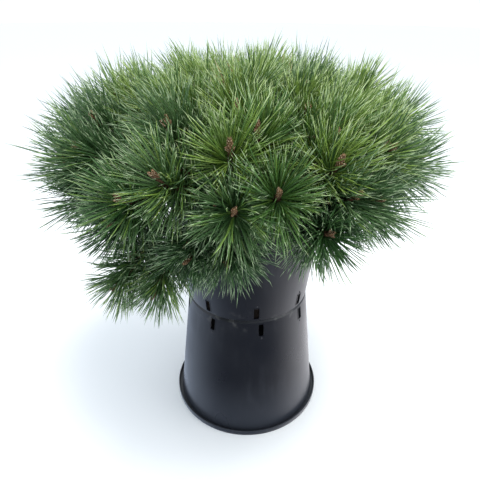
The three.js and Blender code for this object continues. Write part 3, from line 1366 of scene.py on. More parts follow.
@dataclass(frozen=True)
class NeedleForm:
    """One needle: three-sided rings along it, its sheath between the first two, and a point.

    Attributes:
        rings: The rings' shares of the length.
        widths: Their widths, as shares of the needle's.
        pale_from: The share of the length from which a needle may be paler, with a painted
            highlight.
        palest_from: The share from which it is palest.
        pale_share: The share of needles that are.
        samples: How many places on a needle are tested for room.
        shortest: The least share of its length that a needle may have.
    """

    rings: tuple[float, ...] = (0.0, 0.08, 0.46, 0.85)
    widths: tuple[float, ...] = (1.1, 1.05, 1.0, 0.95)
    pale_from: float = 0.46
    palest_from: float = 0.85
    pale_share: float = 0.7
    samples: int = 8
    shortest: float = 0.45

    def skin(
        self,
        needles: Needles,
        halves: np.ndarray,
        shades: np.ndarray,
        rng: np.random.Generator,
    ) -> Shape:
        """Makes the meshes of needles.

        Args:
            needles: The needles.
            halves: Half their widths.
            shades: Their finishes' places.
            rng: The draws for how each is turned about itself.

        Returns:
            The needles as one shape.
        """
        count = len(needles.roots)
        across = unit(np.cross(needles.starts, rng.normal(size=(count, 3))))
        out = spokes(across, np.cross(needles.starts, across), NEEDLE_SIDES)
        spine = needles.at(np.array(self.rings))
        size = halves[:, None, None, None] * np.array(self.widths)[None, :, None, None]
        rings = spine[:, :, None, :] + size * out[:, None, :, :]
        tips = needles.tips()[:, None, :]
        points = np.concatenate([rings.reshape(count, -1, 3), tips], axis=1)
        steps = len(self.rings)
        last = NEEDLE_SIDES * (steps - 1)
        one = np.concatenate([
            grid_faces(steps, NEEDLE_SIDES),
            np.array([[2, 1, 0]]),
            np.array([[0, 1, 3], [1, 2, 3], [2, 0, 3]]) + last,
        ])
        ring = np.concatenate([
            np.tile(np.repeat(np.arange(steps - 1), NEEDLE_SIDES), 2),
            [0],
            np.full(NEEDLE_SIDES, steps - 1),
        ])
        faces = one[None] + (np.arange(count) * points.shape[1])[:, None, None]
        start = np.array(self.rings)[ring]
        # Paler outer parts and tips: painted highlights.
        grade = (start >= self.pale_from).astype(int) + (start >= self.palest_from)
        pales = rng.random(count) < self.pale_share
        places = shades[:, None] + len(GREENS) * grade[None, :] * pales[:, None]
        places = np.where(ring[None, :] == 0, GREENS.index(Green.SHEATH), places)
        return Shape(points.reshape(-1, 3), faces.reshape(-1, 3), places.reshape(-1))


@dataclass(frozen=True)
class Colouring:
    """Deals shades to sprays: paler on top and where they hang clear, bluer low down and left, as
    painted light and shade.

    A step is a place in the list of shades, from the palest on.

    Attributes:
        low: The height up to which shoots are darkest.
        high: The height from which they are palest.
        darkest: The step of a shoot that ends low.
        paler: How many steps paler a shoot is that ends high, as painted light.
        left_darker: How many steps darker a shoot is at the far left, as painted shade.
        clear_below: The height below which a shoot hangs clear of the others.
        clear_paler: How many steps paler it is then, as painted light.
        shoot_spread: By how many steps shoots vary.
        spray_spread: By how many steps the sprays of a shoot vary.
        cool_share: The chance that a shoot is bluish.
        cool_left: What the far left adds to it, as painted shade.
        cool_low: What ending low adds to it, as painted shade.
        left: How far left the far left begins.
        mixed: The share of sprays that differ from their shoot in that.
        older_and_shaded: How many steps darker the needles nearest the shoot's root are.
        older_and_shaded_until: The share of the shoot past which none is darker for that.
        dead_share: The share of the sprays up to dead_until that are dead.
    """

    low: float = 470.0
    high: float = 640.0
    darkest: float = 3.2
    paler: float = 3.2
    left_darker: float = 0.9
    clear_below: float = 430.0
    clear_paler: float = 2.5
    shoot_spread: float = 0.5
    spray_spread: float = 0.7
    cool_share: float = 0.1
    cool_left: float = 0.35
    cool_low: float = 0.6
    left: float = 300.0
    mixed: float = 0.12
    older_and_shaded: float = 1.4
    older_and_shaded_until: float = 0.5
    dead_share: float = 0.05
    dead_until: float = 0.3

    def deal(self, tip: np.ndarray, along: np.ndarray, rng: np.random.Generator) -> np.ndarray:
        """Deals a shade to each spray of a shoot.

        Args:
            tip: The shoot's tip.
            along: The sprays' shares of the needled length.
            rng: The draws.

        Returns:
            The shades' places in the list of greens.
        """
        # Paler high up and where a shoot hangs clear, darker at the far left: painted light and
        # shade.
        up = min(max((tip[2] - self.low) / (self.high - self.low), 0.0), 1.0)
        left = min(max(-tip[0] / self.left, 0.0), 1.0)
        step = self.darkest - self.paler * up + self.left_darker * left
        if tip[2] < self.clear_below:
            step = step - self.clear_paler
        step = step + self.shoot_spread * rng.normal()
        # Darker near the shoot's root, for the needles' age and as painted shade inside the crown.
        age_and_shade = np.clip(1 - along / self.older_and_shaded_until, 0.0, 1.0)
        steps = step + self.older_and_shaded * age_and_shade + self.spray_spread * rng.normal(size=len(along))
        steps = np.clip(np.rint(steps), 0, len(WARM) - 1).astype(int)
        # Bluish sprays are likelier low down and to the left, as painted shade.
        chance = self.cool_share + self.cool_left * left + self.cool_low * (1 - up)
        cool = (rng.random() < chance) ^ (rng.random(len(along)) < self.mixed)
        warm_places = np.array([GREENS.index(green) for green in WARM])
        cool_places = np.array([GREENS.index(green) for green in COOL])
        dealt = np.where(cool, cool_places[steps], warm_places[steps])
        dead = (along < self.dead_until) & (rng.random(len(along)) < self.dead_share)
        return np.where(dead, GREENS.index(Green.DEAD), dealt)


@dataclass
class Foliage:
    """Grows the needles of every mass, and the curves of its side twigs.

    Attributes:
        side_from: The share of its shoot at which a side twig leaves.
        side_shift: By how much that varies.
        side_length: The least and the greatest length of a side twig.
        side_angle: Its angle off the shoot, in degrees.
        side_turn: The angle between the ways that are tried for it, in radians.
        side_curve: How far it turns to the shoot's own way.
        side_knee: The share of its length at which it turns.
        side_rise: The room that each millimetre of rise is worth to it.
    """

    skeleton: Skeleton
    limbs: list[Limb]
    main: NeedleCoat = NeedleCoat(268, 62.5)
    side: NeedleCoat = NeedleCoat(52, 58.0, first=0.2, bare=6.0, twig_radius=2.2)
    form: NeedleForm = NeedleForm()
    colouring: Colouring = Colouring()
    side_from: float = 0.4
    side_shift: float = 0.06
    side_length: Pair = (46.0, 60.0)
    side_angle: float = 40.0
    side_turn: float = math.pi / 6
    side_curve: float = 0.35
    side_knee: float = 0.5
    side_rise: float = 0.12

    def __post_init__(self) -> None:
        """Lays out the room that the needles have."""
        self.room = Room(self.skeleton, self.limbs)

    def needles(self, shoot: Bend, own: int, coat: NeedleCoat, seed: int) -> Shape:
        """Grows the needles of a shoot.

        Args:
            shoot: The shoot's curve.
            own: The number of the shoot whose space they keep to.
            coat: Their sizes.
            seed: The seed of their draws.

        Returns:
            The needles.
        """
        rng = np.random.default_rng(seed)
        last = 1 - coat.bare / shoot.length()
        pair = np.arange(coat.pairs)
        share = ((pair + rng.random(coat.pairs)) / coat.pairs) ** coat.crowding
        along = coat.first + (last - coat.first) * share
        turn = GOLDEN_TURN * pair + rng.normal(0.0, coat.turn_wobble, coat.pairs)
        first, second = shoot.sides(along)
        axis = shoot.heading(along)
        out = np.cos(turn)[:, None] * first + np.sin(turn)[:, None] * second
        roots = shoot.at(along) + (coat.twig_radius - coat.root_depth) * out
        lean = coat.root_angle + (coat.tip_angle - coat.root_angle) * share**coat.narrowing
        lean = np.radians(lean + coat.angle_wobble * mild(rng.normal(size=coat.pairs)))
        mean = np.cos(lean)[:, None] * axis + np.sin(lean)[:, None] * out
        split = unit(np.cross(mean, rng.normal(size=mean.shape)))
        half = math.radians(coat.fork) * coat.forking.draw(rng, coat.pairs)[:, None]
        starts = np.concatenate([unit(mean + half * split), unit(mean - half * split)])
        stray = mild(rng.normal(size=mean.shape))
        bends = coat.curl * axis + coat.stray * stray + coat.lift * UP
        vigour = np.interp(shoot.tip[2], coat.weak_height, (coat.weak, 1.0))
        full = coat.length * vigour
        lengths = full * (1 + coat.length_wobble * mild(rng.normal(size=2 * coat.pairs)))
        grown = Needles(np.tile(roots, (2, 1)), starts, np.tile(bends, (2, 1)), lengths)
        fitted = self.fitting(grown, own)
        keep = fitted >= self.form.shortest
        dealt = self.colouring.deal(shoot.tip, share[:: coat.spray], rng)
        shades = np.tile(dealt[pair // coat.spray], 2)
        halves = 0.5 * coat.width * coat.widening.draw(rng, 2 * coat.pairs)
        kept = grown.kept(keep, fitted)
        return self.form.skin(kept, halves[keep], shades[keep], rng)

    def fitting(self, needles: Needles, own: int) -> np.ndarray:
        """Measures how much of each needle has room.

        Args:
            needles: The needles.
            own: The number of the shoot whose space they keep to.

        Returns:
            The share of its length up to which each has room.
        """
        count = self.form.samples
        points = needles.at((np.arange(count) + 1) / count)
        free = self.room.free(points.reshape(-1, 3), own).reshape(-1, count)
        blocked = ~free[:, 1:]
        first = np.where(blocked.any(axis=1), blocked.argmax(axis=1) + 1, count)
        return first / count

    def side_twig(self, shoot: Bend, own: int, seed: int) -> Bend:
        """Grows a shoot's side twig into the widest gap round it.

        Args:
            shoot: The shoot's curve.
            own: Its number.
            seed: The seed of the draws.

        Returns:
            The twig's curve.
        """
        rng = np.random.default_rng(seed)
        here = np.array(self.side_from + self.side_shift * rng.normal())
        root = shoot.at(here)
        axis = shoot.heading(here)
        first, second = shoot.sides(here)
        length = rng.uniform(*self.side_length)
        lean = math.radians(self.side_angle)
        most = -math.inf
        for angle in np.arange(0.0, 2 * math.pi, self.side_turn) + rng.random():
            out = math.cos(angle) * first + math.sin(angle) * second
            way = math.cos(lean) * axis + math.sin(lean) * out
            tip = root + length * unit(way + self.side_curve * axis)
            apart = self.room.core_distances(tip[None])[0]
            apart[own] = np.inf
            room = float(apart.min()) + self.side_rise * float(tip[2] - root[2])
            if room > most:
                most = room
                best = Bend(root, root + self.side_knee * length * way, tip)
        return best


# ---- wood ----


@dataclass(frozen=True)
class ScaleRelief:
    """Overlapping scales round a limb, each standing up towards its tip.

    Attributes:
        around: How many scales go round.
        spacing: The length of a scale.
        rise: How far its tip stands up.
        fullness: How far the middle of a scale stays level before its edges fall off.
    """

    around: int
    spacing: float
    rise: float
    fullness: int = 3

    def height(self, turns: np.ndarray, lengths: np.ndarray) -> np.ndarray:
        """Measures the relief.

        Args:
            turns: Shares of a turn round the limb.
            lengths: Lengths along it.

        Returns:
            How far the scales stand up there.
        """
        row = np.floor(lengths / self.spacing)
        ramp = lengths / self.spacing - row
        beside = (turns * self.around + 0.5 * row) % 1.0
        crown = 1 - (2 * np.abs(beside - 0.5)) ** self.fullness
        return self.rise * ramp * crown


@dataclass(frozen=True)
class PlateRelief:
    """Bark broken into long plates by cracks that wander.

    Attributes:
        across: How many plates go round.
        length: A plate's length.
        depth: The cracks' depth.
        wander: How far the cracks swing sideways, in plates.
        wander_length: The length in which a swing turns by a radian.
        unevenness: How far the plates' ends shift round the limb, in plates.
        beside_crack: Where a crack along the limb starts, as a share of half a plate.
        grain_pitch: Radians that the grain's waves turn by in each millimetre.
    """

    across: int
    length: float
    depth: float
    wander: float = 0.18
    wander_length: float = 9.0
    wander_twist: float = 6.0
    jitter: float = 0.1
    jitter_length: float = 3.7
    unevenness: float = 0.15
    uneven_waves: int = 5
    beside_crack: float = 0.7
    end_crack: float = 0.78
    grain: float = 0.14
    grain_pitch: float = 1.9
    grain_twist: float = 31.0
    grain_ribs: int = 20

    def height(self, turns: np.ndarray, lengths: np.ndarray) -> np.ndarray:
        """Measures the relief.

        Args:
            turns: Shares of a turn round the limb.
            lengths: Lengths along it.

        Returns:
            How far the plates stand up there.
        """
        swing = self.wander * np.sin(lengths / self.wander_length + self.wander_twist * turns)
        column = turns * self.across + (swing + self.jitter * np.sin(lengths / self.jitter_length))
        row = lengths / self.length + 0.5 * (np.floor(column) % 2)
        row = row + self.unevenness * np.sin(self.uneven_waves * 2 * math.pi * turns)
        beside = np.abs((column % 1.0) - 0.5) * 2
        along = np.abs((row % 1.0) - 0.5) * 2
        crack = np.maximum(ease(self.beside_crack, 1.0, beside), ease(self.end_crack, 1.0, along))
        waves = np.sin(lengths * self.grain_pitch + self.grain_twist * turns)
        grain = self.grain * waves * np.cos(2 * self.grain_ribs * math.pi * turns)
        return self.depth * (1 - crack + grain)


Relief = ScaleRelief | PlateRelief


@dataclass(frozen=True)
class Fineness:
    """How finely a limb is meshed.

    Attributes:
        sides: How many points go round it.
        spacing: The length between its rings.
    """

    sides: int
    spacing: float


@dataclass(frozen=True)
class Wood:
    """The trunk, the boughs and the twigs, each with its own relief."""

    trunk_foot: float = 21.0
    trunk_tip: float = 10.0
    flare: float = 11.0
    flare_height: float = 16.0
    bough_tip: float = 5.2
    stem_radius: float = 4.6
    shoot_root: float = 4.2
    shoot_tip: float = 3.0
    side_root: float = 2.6
    side_tip: float = 1.9
    trunk_relief: PlateRelief = PlateRelief(across=11, length=17.0, depth=1.7)
    bough_relief: PlateRelief = PlateRelief(across=5, length=9.0, depth=0.9)
    twig_relief: ScaleRelief = ScaleRelief(around=4, spacing=3.4, rise=0.9)
    relief_sunk: float = 0.6
    trunk_mesh: Fineness = Fineness(66, 1.6)
    bough_mesh: Fineness = Fineness(20, 2.6)
    stem_mesh: Fineness = Fineness(12, 1.7)
    shoot_mesh: Fineness = Fineness(8, 2.3)
    side_mesh: Fineness = Fineness(6, 2.3)

    def limb(
        self,
        curve: Bend,
        radius: Callable[[np.ndarray], np.ndarray],
        relief: Relief,
        mesh: Fineness,
    ) -> Shape:
        """Makes a limb with relief.

        Args:
            curve: Its curve.
            radius: Its radius at shares of its length, some way up the relief.
            relief: The relief.
            mesh: How finely it is meshed.

        Returns:
            The limb.
        """
        length = curve.length()
        rings = max(3, math.ceil(length / mesh.spacing) + 1)
        along = np.linspace(0.0, 1.0, rings)
        turns = np.arange(mesh.sides) / mesh.sides
        height = relief.height(turns[None, :], (along * length)[:, None])
        radii = radius(along)[:, None] + height - self.relief_sunk * height.max()
        return tube(curve, along, radii)

    def trunk_radius(self, height: float) -> Callable[[np.ndarray], np.ndarray]:
        """Shapes the trunk, with its root flare.

        Args:
            height: The trunk's height.

        Returns:
            The rule that gives its radius at shares of its length.
        """

        def radius(along: np.ndarray) -> np.ndarray:
            """Returns the radius at shares of the trunk."""
            taper = self.trunk_foot + (self.trunk_tip - self.trunk_foot) * along
            return taper + self.flare * np.exp(-along * height / self.flare_height)

        return radius

    @staticmethod
    def taper(root: float, tip: float) -> Callable[[np.ndarray], np.ndarray]:
        """Returns an even taper."""
        return lambda along: root + (tip - root) * along

    def trunk(self, skeleton: Skeleton) -> Shape:
        """Returns the trunk."""
        radius = self.trunk_radius(skeleton.height)
        return self.limb(skeleton.trunk(), radius, self.trunk_relief, self.trunk_mesh)

    def bough(self, limb: Limb) -> Shape:
        """Returns a limb's bough."""
        taper = self.taper(limb.bough_radius, self.bough_tip)
        return self.limb(limb.bough, taper, self.bough_relief, self.bough_mesh)

    def stem(self, limb: Limb) -> Shape:
        """Returns the stem of a limb's mass."""
        taper = self.taper(self.stem_radius, self.shoot_root)
        return self.limb(limb.stem, taper, self.twig_relief, self.stem_mesh)

    def shoot(self, shoot: Bend) -> Shape:
        """Returns a shoot's twig."""
        taper = self.taper(self.shoot_root, self.shoot_tip)
        return self.limb(shoot, taper, self.twig_relief, self.shoot_mesh)

    def side_twig(self, twig: Bend) -> Shape:
        """Returns a side twig."""
        taper = self.taper(self.side_root, self.side_tip)
        return self.limb(twig, taper, self.twig_relief, self.side_mesh)


# ---- buds ----


class BudPart(Enum):
    """The finishes of a bud, by their places."""

    SCALE = 0
    RESIN = 1


@dataclass(frozen=True)
class Bud:
    """A pointed bud of overlapping scales with resin on their tips, standing on +Z.

    Attributes:
        sides: How many sides its heart has.
        bluntness: The power by which it narrows to its point, greater for a blunter one.
        foot: The share of its radius that it has at its foot.
        swell: What it gains on that up to its point.
        overlap: How many rows a scale reaches over.
        last: The share of the length past which the radius falls no more.
        scale_flick: How far a scale's tip bends out, as a share of the bud's radius.
    """

    length: float
    radius: float
    rows: int
    around: int
    sides: int
    bluntness: float = 2.2
    foot: float = 0.72
    swell: float = 0.5
    heart_length: float = 0.97
    heart_radius: float = 0.88
    overlap: float = 1.5
    reach: float = 1.06
    half_width: float = 0.75
    last: float = 0.96
    scale_foot: float = 0.9
    scale_back: float = 1.12
    scale_tip: float = 1.1
    scale_flick: float = 0.16
    scale_under: float = 0.7

    def outline(self, along: np.ndarray) -> np.ndarray:
        """Returns the radius at shares of the length."""
        narrowing = np.sqrt(np.clip(1 - along**self.bluntness, 0.0, 1.0))
        return self.radius * narrowing * (self.foot + self.swell * along)

    def heart(self) -> Shape:
        """Makes the spindle that the scales lie on.

        Returns:
            The spindle.
        """
        along = np.linspace(0.0, self.heart_length, self.rows + 1)
        radii = self.heart_radius * self.outline(along)
        return closed_rings(turned(radii, self.length * along, self.sides))

    def scale(self, along: float, angle: float) -> Shape:
        """Makes one scale.

        Args:
            along: The share of the bud's length at which it starts.
            angle: Its place round the bud, in radians.

        Returns:
            The scale.
        """
        top = min(self.reach, along + self.overlap / self.rows)
        middle = 0.5 * (along + top)
        spread = self.half_width * math.pi / self.around
        low, centre, high = (
            float(self.outline(np.array(min(share, self.last)))) for share in (along, middle, top)
        )

        def point(turn: float, radius: float, share: float) -> list[float]:
            """Returns the point at a turn off the scale's middle, a radius and a share."""
            x, y = math.cos(angle + turn), math.sin(angle + turn)
            return [radius * x, radius * y, self.length * share]

        points = np.array([
            point(-spread, self.scale_foot * low, along),
            point(spread, self.scale_foot * low, along),
            point(0.0, self.scale_back * centre, middle),
            point(0.0, self.scale_tip * high + self.scale_flick * self.radius, top),
            point(0.0, self.scale_under * centre, middle),
        ])
        faces = np.array([
            [0, 1, 2], [1, 3, 2], [3, 0, 2], [1, 0, 4], [3, 1, 4], [0, 3, 4],
        ])
        resin, scale = BudPart.RESIN.value, BudPart.SCALE.value
        return Shape(points, faces, np.array([scale, resin, scale, scale, scale, scale]))

    def shape(self) -> Shape:
        """Makes the whole bud.

        Returns:
            The bud.
        """
        parts = [self.heart()]
        for row in range(self.rows):
            for k in range(self.around):
                angle = 2 * math.pi * (k + 0.5 * (row % 2)) / self.around
                parts.append(self.scale(row / self.rows, angle))
        return Shape.joined(parts)


@dataclass(frozen=True)
class BudCluster:
    """The buds on a shoot's end: a long one with small ones round its foot.

    Attributes:
        sunk: How deep the long one's foot is sunk in the shoot.
        around: The least and most small ones.
        lean: How far they lean out.
        aside: How far a small one's foot is off the shoot's axis.
        above: How far it is above the long one's foot.
        turn: How far they are turned about the shoot, in radians.
        side_size: The factor on the size of the bud on a side twig.
        side_sunk: How deep its foot is sunk in the twig.
        weak: The share of its size that a bud has on a shoot that ends low.
        weak_height: The height up to which it has that, and from which it has it all.
    """

    main: Bud = Bud(length=17.0, radius=3.5, rows=7, around=6, sides=8)
    small: Bud = Bud(length=9.0, radius=2.1, rows=3, around=4, sides=6)
    sunk: float = 5.0
    around: tuple[int, int] = (1, 3)
    lean: float = 0.55
    aside: float = 1.6
    above: float = 1.0
    turn: Variation = Variation(0.0, 6.0)
    main_size: Variation = Variation(0.65, 0.55)
    small_size: Variation = Variation(0.8, 0.5)
    side_size: Variation = Variation(1.0, 0.3)
    side_sunk: float = 2.0
    weak: float = 0.6
    weak_height: Pair = (420.0, 500.0)

    def cluster(self, shoot: Bend, seed: int) -> list[Shape]:
        """Makes the buds on a shoot's end.

        Args:
            shoot: The shoot.
            seed: The seed of the draws.

        Returns:
            The buds.
        """
        rng = np.random.default_rng(seed)
        tip, axis = shoot.tip, shoot.heading(LIMB_END)
        first, second = shoot.sides(LIMB_END)
        vigour = float(np.interp(tip[2], self.weak_height, (self.weak, 1.0)))
        size = vigour * self.main_size.draw(rng)
        at = tip - self.sunk * axis
        parts = [placed(self.main.shape(), at, axis, self.turn.draw(rng), size)]
        count = int(rng.integers(self.around[0], self.around[1] + 1))
        for turn in self.turn.draw(rng) + np.arange(count) * (2 * math.pi / count):
            out = math.cos(turn) * first + math.sin(turn) * second
            way = unit(axis + self.lean * out)
            foot = at + self.aside * out + self.above * axis
            near = vigour * self.small_size.draw(rng)
            parts.append(placed(self.small.shape(), foot, way, turn, near))
        return parts

    def single(self, twig: Bend, seed: int) -> Shape:
        """Makes the bud on a side twig.

        Args:
            twig: The twig.
            seed: The seed of the draws.

        Returns:
            The bud.
        """
        rng = np.random.default_rng(seed)
        axis = twig.heading(LIMB_END)
        foot = twig.tip - self.side_sunk * axis
        return placed(self.small.shape(), foot, axis, 0.0, self.side_size.draw(rng))


# ---- containers and potting mix ----


@dataclass(frozen=True)
class Container:
    """A tapered container with a rim plate, a hanging skirt and drainage slots.

    Attributes:
        slot_turn: The azimuth of its first slot, in its upright position.
        upturned: Whether it stands on its rim.
        lift: The height that it stands at.
    """

    slot_turn: float
    upturned: bool
    lift: float
    height: float = 252.3
    foot_radius: float = 113.3
    wall_top_radius: float = 141.9
    wall: float = 2.2
    floor: float = 2.8
    foot_bevel: float = 3.0
    rim_radius: float = 150.0
    rim_plate: float = 2.6
    rim_corner: float = 0.9
    rim_lap: float = 0.1
    rim_inside: float = 4.0
    skirt_depth: float = 10.0
    skirt_wall: float = 2.2
    segments: int = 144
    rows: int = 22
    slots: int = 8
    slot_width: float = 9.3
    slot_height: float = 24.0
    slot_from_foot: float = 6.5
    slot_corner: float = 1.4
    cutter_reach: float = 8.0
    frame_width: float = 1.3
    frame_rise: float = 0.5
    frame_sunk: float = 0.6
    frame_clear: float = 0.05
    dot_radius: float = 2.3
    dot_rise: float = 1.9
    dot_sunk: float = 0.9
    dot_beyond: float = 5.0
    dot_flat: float = 0.02
    dot_rings: tuple[float, ...] = (0.0, 0.35, 0.75, 1.0)
    dot_sides: int = 14
    crease: float = 32.0
    trim_crease: float = 50.0
    corner_room: ClassVar[float] = 0.45

    def inner_radius(self, z: float | np.ndarray) -> float | np.ndarray:
        """Returns the wall's inner radius at a height."""
        outer = self.foot_radius + (self.wall_top_radius - self.foot_radius) * z / self.height
        return outer - self.wall

    @classmethod
    def rounded(cls, points: Sequence[Pair], corner: float, steps: int = 3) -> list[Pair]:
        """Rounds the corners of a closed outline.

        Args:
            points: The outline's corners.
            corner: How far from a corner its rounding starts.
            steps: How many steps the rounding has.

        Returns:
            The rounded outline.
        """
        outline: list[Pair] = []
        count = len(points)
        for k, here in enumerate(points):
            before, after = np.array(points[k - 1]), np.array(points[(k + 1) % count])
            at = np.array(here)
            shorter = min(np.linalg.norm(before - at), np.linalg.norm(after - at))
            cut = min(corner, cls.corner_room * shorter)
            start = at + cut * unit(before - at)
            end = at + cut * unit(after - at)
            outline.extend(
                tuple(point) for point in Bend(start, at, end).raw(np.linspace(0, 1, steps + 1))
            )
        return outline

    def profile(self) -> np.ndarray:
        """Draws the section, from the foot up the outside and down the inside to the floor.

        Returns:
            Its reaches from the axis and its heights, in columns.
        """
        under = self.height - self.rim_plate
        skirt = self.rim_radius - self.skirt_wall
        outside = [
            (self.foot_radius - self.foot_bevel, 0.0),
            (self.inner_radius(self.foot_bevel) + self.wall, self.foot_bevel),
        ]
        outside += [
            (self.inner_radius(z) + self.wall, z)
            for z in np.linspace(self.foot_bevel, under, self.rows)[1:-1]
        ]
        rim = self.rounded(
            [
                (self.wall_top_radius - self.rim_lap, under),
                (skirt, under),
                (skirt, self.height - self.skirt_depth),
                (self.rim_radius, self.height - self.skirt_depth),
                (self.rim_radius, self.height),
                (self.inner_radius(self.height), self.height),
            ],
            self.rim_corner,
        )
        top, bottom = self.height - self.rim_inside, self.floor + self.foot_bevel
        inside = [(self.inner_radius(z), z) for z in np.linspace(top, bottom, self.rows)]
        base = [(self.inner_radius(self.floor) - self.foot_bevel, self.floor)]
        return np.array(outside + rim[2:] + inside + base)

    def lathed(self) -> Shape:
        """Turns the container, and tells its inside, which takes the finish with painted shade,
        from its outside.

        Returns:
            The container without its slots.
        """
        shape = closed_rings(turned(*self.profile().T, self.segments))
        middles = shape.points[shape.faces].mean(axis=1)
        reach = np.hypot(middles[:, 0], middles[:, 1])
        within = reach < self.inner_radius(middles[:, 2]) + 0.5 * self.wall
        above = middles[:, 2] > 0.5 * self.floor
        return Shape(shape.points, shape.faces, (within & above).astype(np.int32))

    def slot_outline(self, margin: float) -> np.ndarray:
        """Draws a slot.

        Args:
            margin: How far the outline lies outside the slot's own.

        Returns:
            The outline's places across the slot and up from the foot, in columns.
        """
        half = self.slot_width / 2 + margin
        low, high = -margin, self.slot_height + margin
        corners = [(-half, low), (half, low), (half, high), (-half, high)]
        outline = np.array(self.rounded(corners, self.slot_corner + margin))
        return outline + np.array([0.0, self.slot_from_foot])

    def slot_frame(self, azimuth: float) -> Shape:
        """Makes the low moulded frame round one slot.

        Args:
            azimuth: The slot's azimuth.

        Returns:
            The frame.
        """
        rings = []
        low, high = -self.frame_sunk, 1.0
        for margin, rise in ((0.0, low), (0.0, high), (1.0, high), (1.0, low)):
            across, z = self.slot_outline(self.frame_clear + margin * self.frame_width).T
            reach = self.inner_radius(z) + self.wall + rise * self.frame_rise
            angle = math.radians(azimuth) + across / reach
            rings.append(np.stack([reach * np.sin(angle), -reach * np.cos(angle), z], axis=1))
        return looped_rings(np.array(rings))

    def slot_cutter(self, azimuth: float) -> Shape:
        """Makes the block that one slot is cut with.

        Args:
            azimuth: The slot's azimuth.

        Returns:
            The block.
        """
        outline = self.slot_outline(0.0)
        middle = self.slot_from_foot + self.slot_height / 2
        reach = self.inner_radius(middle)
        angle = math.radians(azimuth)
        out = np.array([math.sin(angle), -math.cos(angle), 0.0])
        beside = np.array([math.cos(angle), math.sin(angle), 0.0])
        rings = [
            depth * out + outline[:, :1] * beside + outline[:, 1:] * UP
            for depth in (reach - self.cutter_reach, reach + self.cutter_reach)
        ]
        return closed_rings(np.array(rings))

    def dot(self, azimuth: float) -> Shape:
        """Makes the low moulded dot beyond one slot.

        Args:
            azimuth: The slot's azimuth.

        Returns:
            The dot.
        """
        z = self.slot_from_foot + self.slot_height + self.dot_beyond
        at = polar(azimuth, self.inner_radius(z) + self.wall - self.dot_sunk, z)
        lift = np.array(self.dot_rings) * math.pi / 2
        reaches = self.dot_radius * (np.cos(lift) + self.dot_flat)
        dome = closed_rings(turned(reaches, self.dot_rise * np.sin(lift), self.dot_sides))
        return placed(dome, at, polar(azimuth, 1.0, 0.0), 0.0, 1.0)

    def stood(self, shape: Shape) -> Shape:
        """Stands a shape where the container stands.

        Args:
            shape: The shape, made for a container that stands upright at height 0.

        Returns:
            The stood shape.
        """
        points = shape.points.copy()
        if self.upturned:
            points = points * np.array([-1.0, 1.0, -1.0]) + self.height * UP
        return Shape(points + self.lift * UP, shape.faces, shape.shades)

    def build(self, name: str, node: str, finishes: Sequence[Material]) -> bpy.types.Object:
        """Builds the container and cuts its slots.

        Args:
            name: The piece's name.
            node: The node that it stands for.
            finishes: The materials of its outside and its inside, the second with painted shade.

        Returns:
            The piece.
        """
        azimuths = [self.slot_turn + k * 360 / self.slots for k in range(self.slots)]
        piece = add_piece(name, self.stood(self.lathed()), finishes, "container", [node])
        cutters = Shape.joined([self.slot_cutter(azimuth) for azimuth in azimuths])
        cutter = add_piece("cutter", self.stood(cutters), finishes, "container")
        modifier = piece.modifiers.new("slots", "BOOLEAN")
        modifier.operation = "DIFFERENCE"
        modifier.solver = "EXACT"
        modifier.object = cutter
        graph = bpy.context.evaluated_depsgraph_get()
        cut = bpy.data.meshes.new_from_object(piece.evaluated_get(graph))
        piece.modifiers.clear()
        piece.data = cut
        bpy.data.objects.remove(cutter)
        cut.shade_smooth()
        cut.set_sharp_from_angle(angle=math.radians(self.crease))
        trim = [self.dot(azimuth) for azimuth in azimuths]
        trim += [self.slot_frame(azimuth) for azimuth in azimuths]
        trim = self.stood(Shape.joined(trim))
        add_piece(f"{name}_trim", trim, finishes, "container", crease=self.trim_crease)
        return piece


